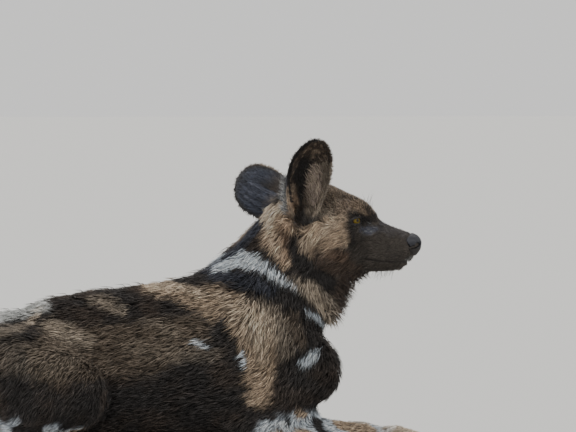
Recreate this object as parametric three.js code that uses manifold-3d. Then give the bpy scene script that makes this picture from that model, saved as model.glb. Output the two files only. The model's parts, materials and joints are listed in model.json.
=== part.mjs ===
// African wild dog, life size, lying on its brisket with its head raised and turned to its right.
// Millimetres. +X runs from rump to head, +Y is the animal's left, +Z is up, and the floor is z = 0.
// The origin is the middle of the flat under the brisket.
import * as THREE from "three";
import { mergeVertices } from "three/addons/utils/BufferGeometryUtils.js";
import Module from "manifold-3d";

const wasm = await Module();
wasm.setup();

// Driving dimensions
const headTurn = THREE.MathUtils.degToRad(20); // head and neck face this far to the animal's right
const seam = 0.35; // gap between neighbouring nodes
const originShift = 165; // the brisket's middle lies this far behind the chest's datum
const eyeRadius = 11.5;
const earLength = 142;
const earHalfWidth = 51; // measured along the cup's curve
const earThickness = 4.6;
const tailLockLength = 54;
const throatLockLength = 31;
const earLockLength = 30;
const clawLength = 17;

// Grid steps for each node's surface
const grain = { head: 6.5, neck: 12.6, torso: 18, leg: 12, hind: 13.5, paw: 8 };

// Colours read from the coat
const coatBlack = 0x2b2725;
const coatTan = 0x8d7458;
const coatMixed = 0x5a4c40;
const coatPale = 0xb9b2a6;
const noseBlack = 0x1c1c20;
const eyeAmber = 0xb5831a;
const clawHorn = 0x2a2522;

const materials = {
  coat: new THREE.MeshStandardMaterial({ color: coatMixed, roughness: 0.9, metalness: 0 }),
  dark: new THREE.MeshStandardMaterial({ color: coatBlack, roughness: 0.9, metalness: 0 }),
  tan: new THREE.MeshStandardMaterial({ color: coatTan, roughness: 0.9, metalness: 0 }),
  pale: new THREE.MeshStandardMaterial({ color: coatPale, roughness: 0.9, metalness: 0 }),
  nose: new THREE.MeshStandardMaterial({ color: noseBlack, roughness: 0.45, metalness: 0 }),
  eye: new THREE.MeshStandardMaterial({ color: eyeAmber, roughness: 0.12, metalness: 0 }),
  claw: new THREE.MeshStandardMaterial({ color: clawHorn, roughness: 0.5, metalness: 0 }),
};

// Small vector helpers on plain arrays
const add = (a, b, k = 1) => [a[0] + b[0] * k, a[1] + b[1] * k, a[2] + b[2] * k];
const sub = (a, b) => [a[0] - b[0], a[1] - b[1], a[2] - b[2]];
const scale = (a, k) => [a[0] * k, a[1] * k, a[2] * k];
const dot = (a, b) => a[0] * b[0] + a[1] * b[1] + a[2] * b[2];
const cross = (a, b) => [
  a[1] * b[2] - a[2] * b[1],
  a[2] * b[0] - a[0] * b[2],
  a[0] * b[1] - a[1] * b[0],
];
const size = (a) => Math.hypot(...a);
const unit = (a) => scale(a, 1 / size(a));
const mix = (a, b, t) => add(scale(a, 1 - t), b, t);

// A seeded draw, so that locks vary alike on every run
function seeded(seed) {
  let state = seed;
  return () => {
    state = (state * 1664525 + 1013904223) % 4294967296;
    return state / 4294967296;
  };
}

// The head frame: u forward, v to the left, z up. It shares the floor and the chest's datum.
const turnCos = Math.cos(headTurn);
const turnSin = Math.sin(headTurn);
const toHead = (p) => [turnCos * p[0] - turnSin * p[1], turnSin * p[0] + turnCos * p[1], p[2]];
const fromHead = (h) => [turnCos * h[0] + turnSin * h[1], -turnSin * h[0] + turnCos * h[1], h[2]];

// Masses: distance to an ellipsoid, tilted nose-up by tilt degrees in its own side view
function ball(centre, radii, tilt = 0, splay = 0) {
  const pitch = THREE.MathUtils.degToRad(tilt);
  const yaw = THREE.MathUtils.degToRad(splay);
  const [pitchCos, pitchSin] = [Math.cos(pitch), Math.sin(pitch)];
  const [yawCos, yawSin] = [Math.cos(yaw), Math.sin(yaw)];
  return (p) => {
    const q = sub(p, centre);
    const along = q[0] * yawCos + q[1] * yawSin;
    const across = -q[0] * yawSin + q[1] * yawCos;
    const x = (along * pitchCos + q[2] * pitchSin) / radii[0];
    const y = across / radii[1];
    const z = (-along * pitchSin + q[2] * pitchCos) / radii[2];
    const near = Math.hypot(x, y, z);
    const slope = Math.hypot(x / radii[0], y / radii[1], z / radii[2]);
    return slope < 1e-9 ? -Math.min(...radii) : (near * (near - 1)) / slope;
  };
}

// A limb runs from a to b with a radius at each end; wide stretches it across
function limb(a, b, radiusA, radiusB, wide = 1) {
  const flat = (p) => [p[0], p[1] / wide, p[2]];
  const start = flat(a);
  const axis = sub(flat(b), start);
  const lengthSq = dot(axis, axis);
  const taper = radiusA - radiusB;
  const rise = lengthSq - taper * taper;
  return (p) => {
    const q = sub(flat(p), start);
    const along = dot(q, axis);
    const past = along - lengthSq;
    const off = sub(scale(q, lengthSq), scale(axis, along));
    const offSq = dot(off, off);
    const bend = Math.sign(taper) * taper * taper * offSq;
    if (Math.sign(past) * rise * past * past * lengthSq > bend)
      return Math.sqrt(offSq + past * past * lengthSq) / lengthSq - radiusB;
    if (Math.sign(along) * rise * along * along * lengthSq < bend)
      return Math.sqrt(offSq + along * along * lengthSq) / lengthSq - radiusA;
    return (Math.sqrt((offSq * rise) / lengthSq) + along * taper) / lengthSq - radiusA;
  };
}

// Flesh: masses melt into one another over their own softness
function melt(a, b, soft) {
  const h = Math.max(soft - Math.abs(a - b), 0) / soft;
  return Math.min(a, b) - (h * h * soft) / 4;
}
function flesh(masses) {
  return (p) => {
    let d = 1e6;
    for (const [mass, soft] of masses) d = melt(mass(p), d, soft);
    return d;
  };
}
const paired = (field) => (p) => field([p[0], Math.abs(p[1]), p[2]]);

// Head and neck, in the head frame
const eyeAt = [104, 31.5, 366];
const headMasses = flesh([
  [ball([40, 0, 374], [62, 49, 49]), 20],
  [ball([50, 24, 384], [46, 26, 36]), 18],
  [ball([92, 0, 371], [48, 37, 33], -12), 18],
  [ball([110, 21, 386], [20, 13, 11], -25), 12],
  [ball(eyeAt, [16, 14, 14]), 8],
  [limb([122, 0, 338], [191, 0, 326], 33, 20, 1.08), 22],
  [ball([158, 15, 313], [38, 15, 15], -3), 12],
  [ball([183, 8, 311], [14, 13, 12]), 9],
  [ball([199, 0, 330], [13, 15, 12.5], -20), 7],
  [limb([114, 0, 305], [174, 0, 297], 22, 12, 1.35), 11],
  [ball([66, 40, 326], [46, 27, 38], 8), 24],
  [limb([100, 40, 349], [44, 57, 348], 13, 14), 20],
  [ball([60, 0, 312], [58, 40, 36]), 24],
  [limb([24, 46, 362], [20, 47, 370], 20, 14), 26],
]);
const neckMasses = flesh([
  [limb([28, 0, 324], [-38, 0, 234], 70, 95, 0.82), 30],
  [ball([46, 0, 250], [43, 48, 52], 24), 40],
  [limb([10, 0, 350], [-50, 0, 274], 50, 58, 0.85), 30],
]);
// Hollows pressed into the face: before the eye, under the cheekbone, and beside the muzzle's bridge
const faceHollows = [
  [paired(ball([131, 36, 361], [17, 10, 14])), 12],
  [paired(ball([122, 50, 322], [28, 13, 16])), 16],
];
function press(d, hollow, soft) {
  const h = Math.max(soft - Math.abs(d + hollow), 0) / soft;
  return Math.max(d, -hollow) + (h * h * soft) / 4;
}
function headField(h) {
  let d = paired(headMasses)(h);
  for (const [hollow, soft] of faceHollows) d = press(d, hollow(h), soft);
  return d;
}

// Trunk, in the row's directions, from the chest's datum
const trunkMasses = flesh([
  [ball([-165, 0, 131], [196, 98, 134.5]), 30],
  [ball([-128, 0, 218], [92, 50, 64], 12), 40],
  [limb([-112, 44, 234], [12, 64, 144], 32, 42), 40],
  [limb([-250, 0, 158], [-440, 0, 140], 98, 86, 0.86), 40],
  [ball([-340, 0, 176], [112, 50, 73], 4), 40],
  [ball([-330, 0, 98], [130, 80, 92]), 40],
  [ball([-494, 0, 140], [100, 68, 72], -6), 40],
  [limb([-546, 0, 150], [-612, 0, 157], 40, 19), 24],
  [ball([-478, 80, 108], [116, 48, 90], -14), 34],
]);
const upperArm = limb([14, 76, 120], [-84, 88, 52], 42, 33);
const forearm = flesh([
  [limb([-92, 90, 37], [-10, 88, 32], 33, 29), 20],
  [limb([-10, 88, 32], [98, 82, 21], 28, 20), 20],
  [limb([-116, 88, 44], [-92, 90, 38], 16, 22), 16],
  [limb([98, 82, 19], [150, 80, 17], 21, 19, 1.12), 12],
]);
const shank = flesh([
  [ball([-392, 104, 96], [48, 40, 52], -20), 24],
  [limb([-394, 112, 88], [-556, 116, 38], 35, 20), 24],
  [limb([-556, 116, 38], [-590, 116, 32], 20, 17), 12],
  [limb([-574, 118, 17], [-474, 130, 17], 20, 18), 16],
]);

// Paws: a pad and four toes, spread from a wrist point towards the front
const toeSpread = [-1.5, -0.5, 0.5, 1.5];
function pawMasses(wrist, across, length, pitch) {
  const padAt = add(wrist, [length * 0.3, 0, -3]);
  const masses = [
    [limb(wrist, padAt, 20, 19, 1.15), 12],
    [ball(add(padAt, [4, 0, -6]), [26, 26, 15]), 10],
  ];
  for (const place of toeSpread) {
    const middle = 1 - Math.abs(place) / 3;
    const knuckle = add(padAt, [length * (0.1 + 0.14 * middle), place * across * 0.9, 3]);
    const tip = add(padAt, [length * (0.32 + 0.3 * middle), place * across * 1.12, -pitch]);
    masses.push([limb(knuckle, tip, 11.5, 9), 5]);
  }
  return masses;
}
const pawSize = { across: 14.5, length: 66, pitch: 7 };
const forePawWrist = [152, 80, 18];
const hindPawWrist = [-472, 130, 18];
const forePaw = flesh(pawMasses(forePawWrist, pawSize.across, pawSize.length, pawSize.pitch));
const hindPaw = flesh(pawMasses(hindPawWrist, pawSize.across * 0.95, pawSize.length * 0.95, pawSize.pitch));

// The whole animal as one field: legs melt into the trunk, the neck into both head and trunk
const limbField = paired((q) => melt(melt(upperArm(q), forearm(q), 22), shank(q), 22));
const pawField = paired((q) => Math.min(forePaw(q), hindPaw(q)));
function bodyField(p) {
  const h = toHead(p);
  const front = melt(headField(h), neckMasses(h), 26);
  const trunk = melt(paired(trunkMasses)(p), limbField(p), 26);
  return melt(melt(front, trunk, 44), pawField(p), 10);
}

// Steepest way out of a field
function outward(field, p, reach = 0.5) {
  const slope = [0, 1, 2].map((axis) => {
    const step = [0, 0, 0];
    step[axis] = reach;
    return field(add(p, step)) - field(sub(p, step));
  });
  return scale(slope, 1 / (2 * reach));
}

// The crossed edges of one grid cell, gathered into the separate sheets of surface that pass through it
const unitCorners = [0, 1, 2, 3, 4, 5, 6, 7].map((n) => [n & 1, (n >> 1) & 1, n >> 2]);
const edgeNumber = (axis, c) => axis * 4 + c[(axis + 1) % 3] + 2 * c[(axis + 2) % 3];
function cellSheets(valueAt) {
  const group = Array.from({ length: 12 }, (_, n) => n);
  const crossed = [];
  const rootOf = (n) => (group[n] === n ? n : rootOf(group[n]));
  for (let axis = 0; axis < 3; axis++)
    for (const c of unitCorners) {
      if (c[axis]) continue;
      const end = [...c];
      end[axis] = 1;
      if (valueAt(c) < 0 !== valueAt(end) < 0) crossed.push({ number: edgeNumber(axis, c), start: c, end });
    }
  for (let face = 0; face < 3; face++)
    for (const level of [0, 1]) {
      const here = crossed.filter(({ start, end }) => start[face] === level && end[face] === level);
      const touches = (edge, c) => [edge.start, edge.end].some((e) => e.every((x, n) => x === c[n]));
      if (here.length === 2) group[rootOf(here[0].number)] = rootOf(here[1].number);
      if (here.length === 4)
        for (const c of unitCorners) {
          if (c[face] !== level || valueAt(c) >= 0) continue;
          const [a, b] = here.filter((edge) => touches(edge, c));
          group[rootOf(a.number)] = rootOf(b.number);
        }
    }
  const sheets = new Map();
  for (const edge of crossed) {
    const root = rootOf(edge.number);
    if (!sheets.has(root)) sheets.set(root, []);
    sheets.get(root).push(edge);
  }
  return [...sheets.values()];
}

// A closed mesh of the surface where field equals level, on a grid inside box
function surface(field, box, step, level = 0) {
  const [low, high] = box;
  const count = [0, 1, 2].map((axis) => Math.ceil((high[axis] - low[axis]) / step) + 1);
  const number = ([i, j, k]) => i + count[0] * (j + count[1] * k);
  const at = (cell) => low.map((start, axis) => start + cell[axis] * step);
  const onRim = (cell, last) => cell.some((n, axis) => n === 0 || n === count[axis] - last);
  const everyCell = (from, until, visit) => {
    for (let k = from; k < count[2] - until; k++)
      for (let j = from; j < count[1] - until; j++)
        for (let i = from; i < count[0] - until; i++) visit([i, j, k]);
  };
  const values = new Float64Array(count[0] * count[1] * count[2]);
  everyCell(0, 0, (cell) => {
    const value = field(at(cell)) - level;
    values[number(cell)] = onRim(cell, 1) ? Math.max(value, step * 0.3) : value;
  });
  const points = [];
  const rimPoints = new Set();
  const pointOfEdge = new Map();
  everyCell(0, 1, (cell) => {
    const valueAt = (c) => values[number(add(cell, c))];
    const signs = unitCorners.filter((c) => valueAt(c) < 0).length;
    if (signs === 0 || signs === 8) return;
    for (const sheet of cellSheets(valueAt)) {
      const crossings = sheet.map(({ start, end }) => {
        const [a, b] = [valueAt(start), valueAt(end)];
        return mix(at(add(cell, start)), at(add(cell, end)), a / (a - b));
      });
      let p = scale(crossings.reduce((sum, c) => add(sum, c)), 1 / crossings.length);
      if (!onRim(cell, 2)) {
        const slope = outward(field, p);
        const steep = Math.max(dot(slope, slope), 0.2);
        const reach = 0.4 * step;
        p = add(p, slope, -Math.max(-reach, Math.min(reach, (field(p) - level) / steep)));
      } else rimPoints.add(points.length);
      for (const edge of sheet) pointOfEdge.set(number(cell) * 12 + edge.number, points.length);
      points.push(p);
    }
  });
  const faces = [];
  everyCell(0, 1, (cell) => {
    for (let axis = 0; axis < 3; axis++) {
      const next = [...cell];
      next[axis] += 1;
      const inside = values[number(cell)] < 0;
      if (inside === values[number(next)] < 0) continue;
      const ring = [[0, 0], [1, 0], [1, 1], [0, 1]].map(([backU, backV]) => {
        const owner = [...cell];
        owner[(axis + 1) % 3] -= backU;
        owner[(axis + 2) % 3] -= backV;
        return pointOfEdge.get(number(owner) * 12 + axis * 4 + backU + 2 * backV);
      });
      if (!inside) ring.reverse();
      const [a, b, c, d] = ring;
      const shortAC = size(sub(points[a], points[c])) < size(sub(points[b], points[d]));
      if (shortAC) faces.push([a, b, c], [a, c, d]);
      else faces.push([a, b, d], [b, c, d]);
    }
  });
  const onSkin = (p) => {
    const slope = outward(field, p);
    return add(p, slope, (level - field(p)) / Math.max(dot(slope, slope), 0.2));
  };
  return thinned(points, faces, rimPoints, step, onSkin, (p) => unit(outward(field, p)));
}

// Thins a mesh: an edge that is short, or whose ends face alike, shrinks to one point of the skin
const thinning = { passes: 9, shortEdge: 0.6, flatEdge: 1.7, alikeFrom: 0.88, turnLimit: 0.86, sliver: 0.16 };
function thinned(points, faces, fixed, step, onSkin, facing) {
  const around = points.map(() => new Set());
  faces.forEach((face, n) => face.forEach((v) => around[v].add(n)));
  const normals = points.map((p, v) => (fixed.has(v) ? null : facing(p)));
  const normalOf = ([a, b, c]) => cross(sub(b, a), sub(c, a));
  const spanOf = ([a, b, c]) => Math.max(size(sub(b, a)), size(sub(c, b)), size(sub(a, c)));
  const ringOf = (v) => new Set([...around[v]].flatMap((n) => faces[n]).filter((w) => w !== v));
  for (let pass = 0; pass < thinning.passes; pass++) {
    const edges = [];
    for (const face of faces)
      face?.forEach((a, i) => {
        const b = face[(i + 1) % 3];
        if (a < b && normals[a] && normals[b]) edges.push([size(sub(points[a], points[b])), a, b]);
      });
    edges.sort((x, y) => x[0] - y[0]);
    const touched = new Set();
    for (const [length, a, b] of edges) {
      if (touched.has(a) || touched.has(b)) continue;
      const agree = dot(normals[a], normals[b]);
      const alike = Math.max((agree - thinning.alikeFrom) / (1 - thinning.alikeFrom), 0);
      const reach = thinning.shortEdge + (thinning.flatEdge - thinning.shortEdge) * alike ** 2;
      if (length > step * reach) continue;
      const ring = ringOf(a);
      const ringB = ringOf(b);
      if ([...ring].filter((v) => ringB.has(v)).length !== 2) continue;
      const middle = onSkin(mix(points[a], points[b], 0.5));
      const both = [...new Set([...around[a], ...around[b]])];
      const gone = both.filter((n) => faces[n].includes(a) && faces[n].includes(b));
      const kept = both.filter((n) => !gone.includes(n));
      const sound = kept.every((n) => {
        const now = normalOf(faces[n].map((v) => points[v]));
        const corners = faces[n].map((v) => (v === a || v === b ? middle : points[v]));
        const then = normalOf(corners);
        const thin = size(then) < thinning.sliver * spanOf(corners) ** 2;
        return !thin && dot(now, then) > thinning.turnLimit * size(now) * size(then);
      });
      if (!sound) continue;
      points[a] = middle;
      normals[a] = facing(middle);
      for (const n of gone) {
        for (const v of faces[n]) around[v].delete(n);
        faces[n] = null;
      }
      for (const n of around[b]) {
        faces[n] = faces[n].map((v) => (v === b ? a : v));
        around[a].add(n);
      }
      around[b].clear();
      for (const v of [a, b, ...ring, ...ringB]) touched.add(v);
    }
    if (touched.size === 0) break;
  }
  const left = faces.filter((face) => face);
  const used = [...new Set(left.flat())];
  const numberOf = new Map(used.map((v, n) => [v, n]));
  return solid(used.map((v) => points[v]), left.flat().map((v) => numberOf.get(v)));
}

function solid(points, triangles) {
  return new wasm.Manifold(
    new wasm.Mesh({
      numProp: 3,
      vertProperties: new Float32Array(points.flat()),
      triVerts: new Uint32Array(triangles),
    }),
  );
}

// A three.js geometry as a solid
function fromGeometry(geometry) {
  const bare = geometry.clone();
  for (const name of Object.keys(bare.attributes)) if (name !== "position") bare.deleteAttribute(name);
  const merged = mergeVertices(bare, 1e-3);
  const flat = merged.attributes.position.array;
  const points = [];
  for (let i = 0; i < flat.length; i += 3) points.push([flat[i], flat[i + 1], flat[i + 2]]);
  return solid(points, [...merged.index.array]);
}

// A closed loft through rings of points, capped at both ends by a point
function loft(rings, startCap, endCap) {
  const sides = rings[0].length;
  const points = [startCap, ...rings.flat(), endCap];
  const triangles = [];
  const last = points.length - 1;
  const at = (ring, side) => 1 + ring * sides + (side % sides);
  for (let side = 0; side < sides; side++) {
    triangles.push(0, at(0, side + 1), at(0, side));
    for (let ring = 0; ring < rings.length - 1; ring++) {
      const [a, b, c, d] = [at(ring, side), at(ring, side + 1), at(ring + 1, side + 1), at(ring + 1, side)];
      triangles.push(a, b, c, a, c, d);
    }
    triangles.push(last, at(rings.length - 1, side), at(rings.length - 1, side + 1));
  }
  return solid(points, triangles);
}

// A tapered strip along a path: wide across `broad`, thin across the other way
function strip(path, broad, widths, thinness, sides = 4) {
  const rings = path.slice(0, -1).map((p, i) => {
    const ahead = unit(sub(path[i + 1], path[Math.max(i - 1, 0)]));
    const across = unit(sub(broad, scale(ahead, dot(broad, ahead))));
    const up = cross(ahead, across);
    return Array.from({ length: sides }, (_, n) => {
      const turn = (n / sides) * 2 * Math.PI;
      const reach = widths[i] / 2;
      return add(add(p, across, Math.cos(turn) * reach), up, Math.sin(turn) * reach * thinness);
    });
  });
  return loft(rings, path[0], path.at(-1));
}

// One lock of hair: rooted below the skin, lying along `lie` and lifted off it, bent back towards its tip
function lock(root, normal, lie, length, width, lift, sink = 7) {
  const flow = unit(sub(lie, scale(normal, dot(lie, normal))));
  const broad = cross(normal, flow);
  const shares = [0, 0.3, 0.62, 0.85, 1];
  const path = shares.map((t) => {
    const height = -sink * (1 - t) * (1 - t) + lift * length * (1.5 * t - 0.5 * t * t);
    return add(add(root, flow, length * t), normal, height);
  });
  return strip(path, broad, [0.8, 1, 0.85, 0.5].map((w) => w * width), 0.42);
}

// A point of the skin, found outwards from inside, and the way it faces
function skinFrom(inside, direction) {
  let at = inside;
  for (let n = 0; n < 40; n++) at = add(at, direction, -0.8 * bodyField(at));
  return { at, normal: unit(outward(bodyField, at)) };
}

// The largest closed surface of a solid
const largest = (made) => made.decompose().sort((a, b) => b.volume() - a.volume())[0];
const joined = (pieces) => wasm.Manifold.union(pieces);
const outwards = (made, flipped) => (made.volume() < 0 ? flipped() : made);
const aboveFloor = (made) => made.trimByPlane([0, 0, 1], 0);

// Cutting planes between nodes, as a unit normal and how far along it the plane lies
const napeCut = { normal: fromHead([0.76, 0, 0.65]), at: 249 };
const chestCut = { normal: unit([0.518, 0, 0.856]), at: 197 };
const tailCut = { normal: [-1, 0, 0], at: 592 };
const forePawCut = { normal: [1, 0, 0], at: 128 };
const keepAhead = (made, cut) => made.trimByPlane(cut.normal, cut.at + seam / 2);
const keepBehind = (made, cut) => made.trimByPlane(scale(cut.normal, -1), -(cut.at - seam / 2));

// An outline of points in a plane, moved outwards by gap
function grown(outline, gap) {
  const next = (i, step) => outline[(i + step + outline.length) % outline.length];
  const area = outline.reduce((sum, [x, z], i) => sum + x * next(i, 1)[1] - next(i, 1)[0] * z, 0);
  const outOf = (a, b) => {
    const length = Math.hypot(b[0] - a[0], b[1] - a[1]) * Math.sign(area);
    return [(b[1] - a[1]) / length, (a[0] - b[0]) / length];
  };
  return outline.map((point, i) => {
    const before = outOf(next(i, -1), point);
    const after = outOf(point, next(i, 1));
    const spread = 1 + before[0] * after[0] + before[1] * after[1];
    return point.map((value, axis) => value + (gap * (before[axis] + after[axis])) / spread);
  });
}

// A side-view outline of [x, z] points, cut straight through from y = from to y = to
function sideCut(outline, from, to) {
  const shape = new THREE.Shape(outline.map(([x, z]) => new THREE.Vector2(x, z)));
  const geometry = new THREE.ExtrudeGeometry(shape, { depth: to - from, bevelEnabled: false });
  geometry.rotateX(Math.PI / 2);
  geometry.translate(0, to, 0);
  return geometry;
}
const rounded = (points, count) =>
  new THREE.SplineCurve(points.map(([x, z]) => new THREE.Vector2(x, z)))
    .getPoints(count)
    .map((p) => [p.x, p.y]);

// Leg regions, seen from the side, and how far out from the middle plane they start
const hindOutline = [
  ...rounded([[-330, 60], [-344, 128], [-392, 176], [-462, 192], [-530, 172], [-578, 118]], 15),
  [-592, 70],
  [-640, 66],
  [-640, -40],
  [-330, -40],
];
const foreOutline = [
  ...rounded([[72, 66], [70, 128], [38, 170], [-14, 172], [-62, 132], [-122, 84]], 13),
  [-150, 52],
  [-146, -40],
  [128 - seam / 2, -40],
  [128 - seam / 2, 70],
];
const hindPawOutline = [[-496, -40], [-496, 46], [-440, 45], [-380, 30], [-380, -40]];
const hindStart = 50;
const foreStart = 56;
const hindPawStart = 90;
const sideways = 210; // well outside the animal
function legCut(outline, start, side, gap) {
  const geometry = sideCut(grown(outline, gap), start - gap, sideways);
  const made = fromGeometry(geometry);
  return side > 0 ? made : made.mirror([0, 1, 0]);
}

const wrap = ([low, high], side) =>
  side > 0 ? [low, high] : [[low[0], -high[1], low[2]], [high[0], -low[1], high[2]]];
const foreBox = [[-170, 30, -30], [150, 150, 210]];
const hindBox = [[-650, 30, -30], [-310, 200, 220]];
const forePawBox = [[112, 30, -26], [262, 130, 70]];
const hindPawBox = [[-514, 76, -26], [-364, 190, 70]];
const sideOf = { right: -1, left: 1 };

const nodes = {};
const keep = (name, made, material) => {
  nodes[name] = { made: largest(made), material };
};

// Eyes in their sockets, and the lids round them
const eyeWide = 10.2;
const lidHigh = { upper: 5.6, lower: 4.8 };
function eyeParts(side) {
  const centre = fromHead([eyeAt[0], eyeAt[1] * side, eyeAt[2]]);
  const gaze = unit(fromHead([0.62, 0.78 * side, 0.05]));
  const sphere = (radius) => fromGeometry(new THREE.IcosahedronGeometry(radius, 2)).translate(centre);
  const up = unit(sub([0, 0, 1], scale(gaze, gaze[2])));
  const across = cross(up, gaze);
  const rim = (share, gap) => {
    const turn = share * 2 * Math.PI;
    const wide = Math.cos(turn) * (eyeWide + gap);
    const high = Math.sin(turn) * ((turn < Math.PI ? lidHigh.upper : lidHigh.lower) + gap);
    const droop = -0.16 * wide * side; // the inner corner sits lower
    return [wide, high + droop];
  };
  return { centre, gaze, up, across, sphere, rim };
}
function lidRing(eye) {
  const sides = 5;
  const steps = 16;
  const thick = 2.6;
  const points = [];
  for (let i = 0; i < steps; i++) {
    const [wide, high] = eye.rim(i / steps, 1.2);
    const bulge = Math.sqrt(Math.max((eyeRadius + 1) ** 2 - wide * wide - high * high, 9));
    const core = add(add(add(eye.centre, eye.across, wide), eye.up, high), eye.gaze, bulge);
    const out = unit(add(scale(eye.across, wide), eye.up, high));
    for (let n = 0; n < sides; n++) {
      const turn = (n / sides) * 2 * Math.PI;
      points.push(add(add(core, out, Math.cos(turn) * thick), eye.gaze, Math.sin(turn) * thick));
    }
  }
  const triangles = [];
  const at = (i, n) => (i % steps) * sides + (n % sides);
  for (let i = 0; i < steps; i++)
    for (let n = 0; n < sides; n++)
      triangles.push(at(i, n), at(i + 1, n), at(i + 1, n + 1), at(i, n), at(i + 1, n + 1), at(i, n + 1));
  return outwards(solid(points, triangles), () => solid(points, triangles.reverse()));
}
function lidOpening(eye) {
  const outline = Array.from({ length: 14 }, (_, i) => eye.rim(i / 14, 0));
  const ringAt = (depth) =>
    outline.map(([wide, high]) => add(add(add(eye.centre, eye.across, wide), eye.up, high), eye.gaze, depth));
  const [start, end] = [add(eye.centre, eye.gaze, 2), add(eye.centre, eye.gaze, 30)];
  return outwards(loft([ringAt(2), ringAt(30)], start, end), () => loft([ringAt(30), ringAt(2)], end, start));
}

// Side-view regions of the head, cut right through it: the lower jaw and the nose leather
function headCut(outline, halfWidth) {
  const geometry = sideCut(outline, -halfWidth, halfWidth);
  geometry.rotateZ(-headTurn);
  return fromGeometry(geometry);
}
const lipGap = 1.5;
const mouthLine = [[206, 302.5], [190, 301.5], [172, 300.5], [152, 301], [132, 304], [114, 308]];
const jawBack = [[107, 303], [101, 286], [98, 262]];
const jawOutline = (drop) => [...mouthLine.map(([u, z]) => [u, z - drop]), ...jawBack, [216, 262]];
const noseOutline = [
  [200, 352], [196, 342], [190, 335], [190, 326], [195, 318], [201, 311], [226, 306], [226, 352],
];
function nostril(side) {
  const cut = new THREE.SphereGeometry(1, 8, 6);
  cut.scale(7, 3.4, 3.6);
  cut.rotateY(0.55);
  cut.rotateZ(-0.5 * side);
  const slit = new THREE.SphereGeometry(1, 6, 5);
  slit.scale(6, 2.6, 1.7);
  slit.rotateY(-0.25);
  const place = (geometry, at) => {
    geometry.translate(...at);
    geometry.rotateZ(-headTurn);
    return fromGeometry(geometry);
  };
  return joined([place(cut, [211, 8.2 * side, 329]), place(slit, [204.5, 13.4 * side, 326])]);
}

// Ears: a leaf rolled into a cup about its own axis, open on one side
const earPose = {
  right: {
    root: [20, -54, 368],
    axis: [0.19, -0.34, 0.92],
    open: [0.36, -0.9, -0.3],
    roll: 1,
    breadth: 0.98,
  },
  left: {
    root: [8, 52, 385],
    axis: [-0.65, 0.7, 0.33],
    open: [0.62, 0.74, -0.24],
    roll: 0.84,
    breadth: 1,
  },
};
function earFrame(side) {
  const pose = earPose[side];
  const axis = unit(fromHead(pose.axis));
  const rawOpen = fromHead(pose.open);
  const open = unit(sub(rawOpen, scale(axis, dot(rawOpen, axis))));
  const halfWidth = earHalfWidth * pose.breadth;
  return { root: fromHead(pose.root), axis, open, across: cross(axis, open), roll: pose.roll, halfWidth };
}
function earPoint(frame, along, acrossShare, depth) {
  const full = Math.max(1 - Math.max((along - 0.24) / 0.76, 0) ** 2.1, 0) ** 0.6;
  const neck = 0.84 + 0.16 * Math.min(Math.max(along, 0) / 0.3, 1) ** 0.8;
  const half = Math.max(frame.halfWidth * full * neck, 3);
  const curl = (1.85 * (1 - along) ** 1.5 + 0.62) * frame.roll;
  const radius = half / curl;
  const turn = curl * acrossShare;
  const spine = 10 * Math.sin(along * Math.PI) - 6 * along * along;
  const lift = radius - (radius + depth) * Math.cos(turn) - 0.25 * half - spine;
  const wide = (radius + depth) * Math.sin(turn);
  return add(add(add(frame.root, frame.axis, earLength * along), frame.open, lift), frame.across, wide);
}
// gap makes the shell that much fuller all round, for the slot that its root sits in
function earShell(side, gap) {
  const frame = earFrame(side);
  const alongShares = [-gap / earLength, 0.1, 0.22, 0.36, 0.5, 0.64, 0.77, 0.88, 0.95, 1];
  const acrossSteps = 10;
  const points = [];
  const index = (face, i, j) => (face * alongShares.length + i) * (acrossSteps + 1) + j;
  for (const face of [0, 1])
    for (const along of alongShares)
      for (let j = 0; j <= acrossSteps; j++) {
        const acrossShare = ((j / acrossSteps) * 2 - 1) * (1 + gap / frame.halfWidth / 0.68);
        const thick = earThickness * (1 - 0.45 * Math.abs(acrossShare) ** 3) * (1 - 0.4 * along);
        points.push(earPoint(frame, along, acrossShare, face ? thick + gap : -gap));
      }
  const triangles = [];
  const quad = (a, b, c, d) => triangles.push(a, b, c, a, c, d);
  const lastRow = alongShares.length - 1;
  for (let i = 0; i < lastRow; i++) {
    for (let j = 0; j < acrossSteps; j++) {
      quad(index(0, i, j), index(0, i, j + 1), index(0, i + 1, j + 1), index(0, i + 1, j));
      quad(index(1, i + 1, j + 1), index(1, i, j + 1), index(1, i, j), index(1, i + 1, j));
    }
    quad(index(0, i, 0), index(0, i + 1, 0), index(1, i + 1, 0), index(1, i, 0));
    const j = acrossSteps;
    quad(index(0, i, j), index(1, i, j), index(1, i + 1, j), index(0, i + 1, j));
  }
  for (let j = 0; j < acrossSteps; j++) {
    quad(index(0, 0, j), index(1, 0, j), index(1, 0, j + 1), index(0, 0, j + 1));
    quad(index(0, lastRow, j), index(0, lastRow, j + 1), index(1, lastRow, j + 1), index(1, lastRow, j));
  }
  return outwards(solid(points, triangles), () => solid(points, triangles.reverse()));
}

// Tufts of long hair on the inner face of the cup, along its front edge
const earTufts = { rows: [0.24, 0.38, 0.52], places: [0.7, 0.3], width: 10, lift: 0.26, sink: 1.2 };
function earWithTufts(side) {
  const frame = earFrame(side);
  const draw = seeded(side === "right" ? 11 : 12);
  const front = side === "right" ? 1 : -1;
  const tufts = earTufts.rows.flatMap((along) =>
    earTufts.places.map((place) => {
      const share = place * front + 0.1 * (draw() - 0.5);
      const root = earPoint(frame, along, share, 0);
      const normal = unit(sub(root, earPoint(frame, along, share, 4)));
      const lie = add(frame.axis, frame.across, -0.35 * front);
      const length = earLockLength * (0.85 + 0.3 * draw());
      return lock(root, normal, lie, length, earTufts.width, earTufts.lift, earTufts.sink);
    }),
  );
  return joined([earShell(side, 0), ...tufts]);
}

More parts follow.
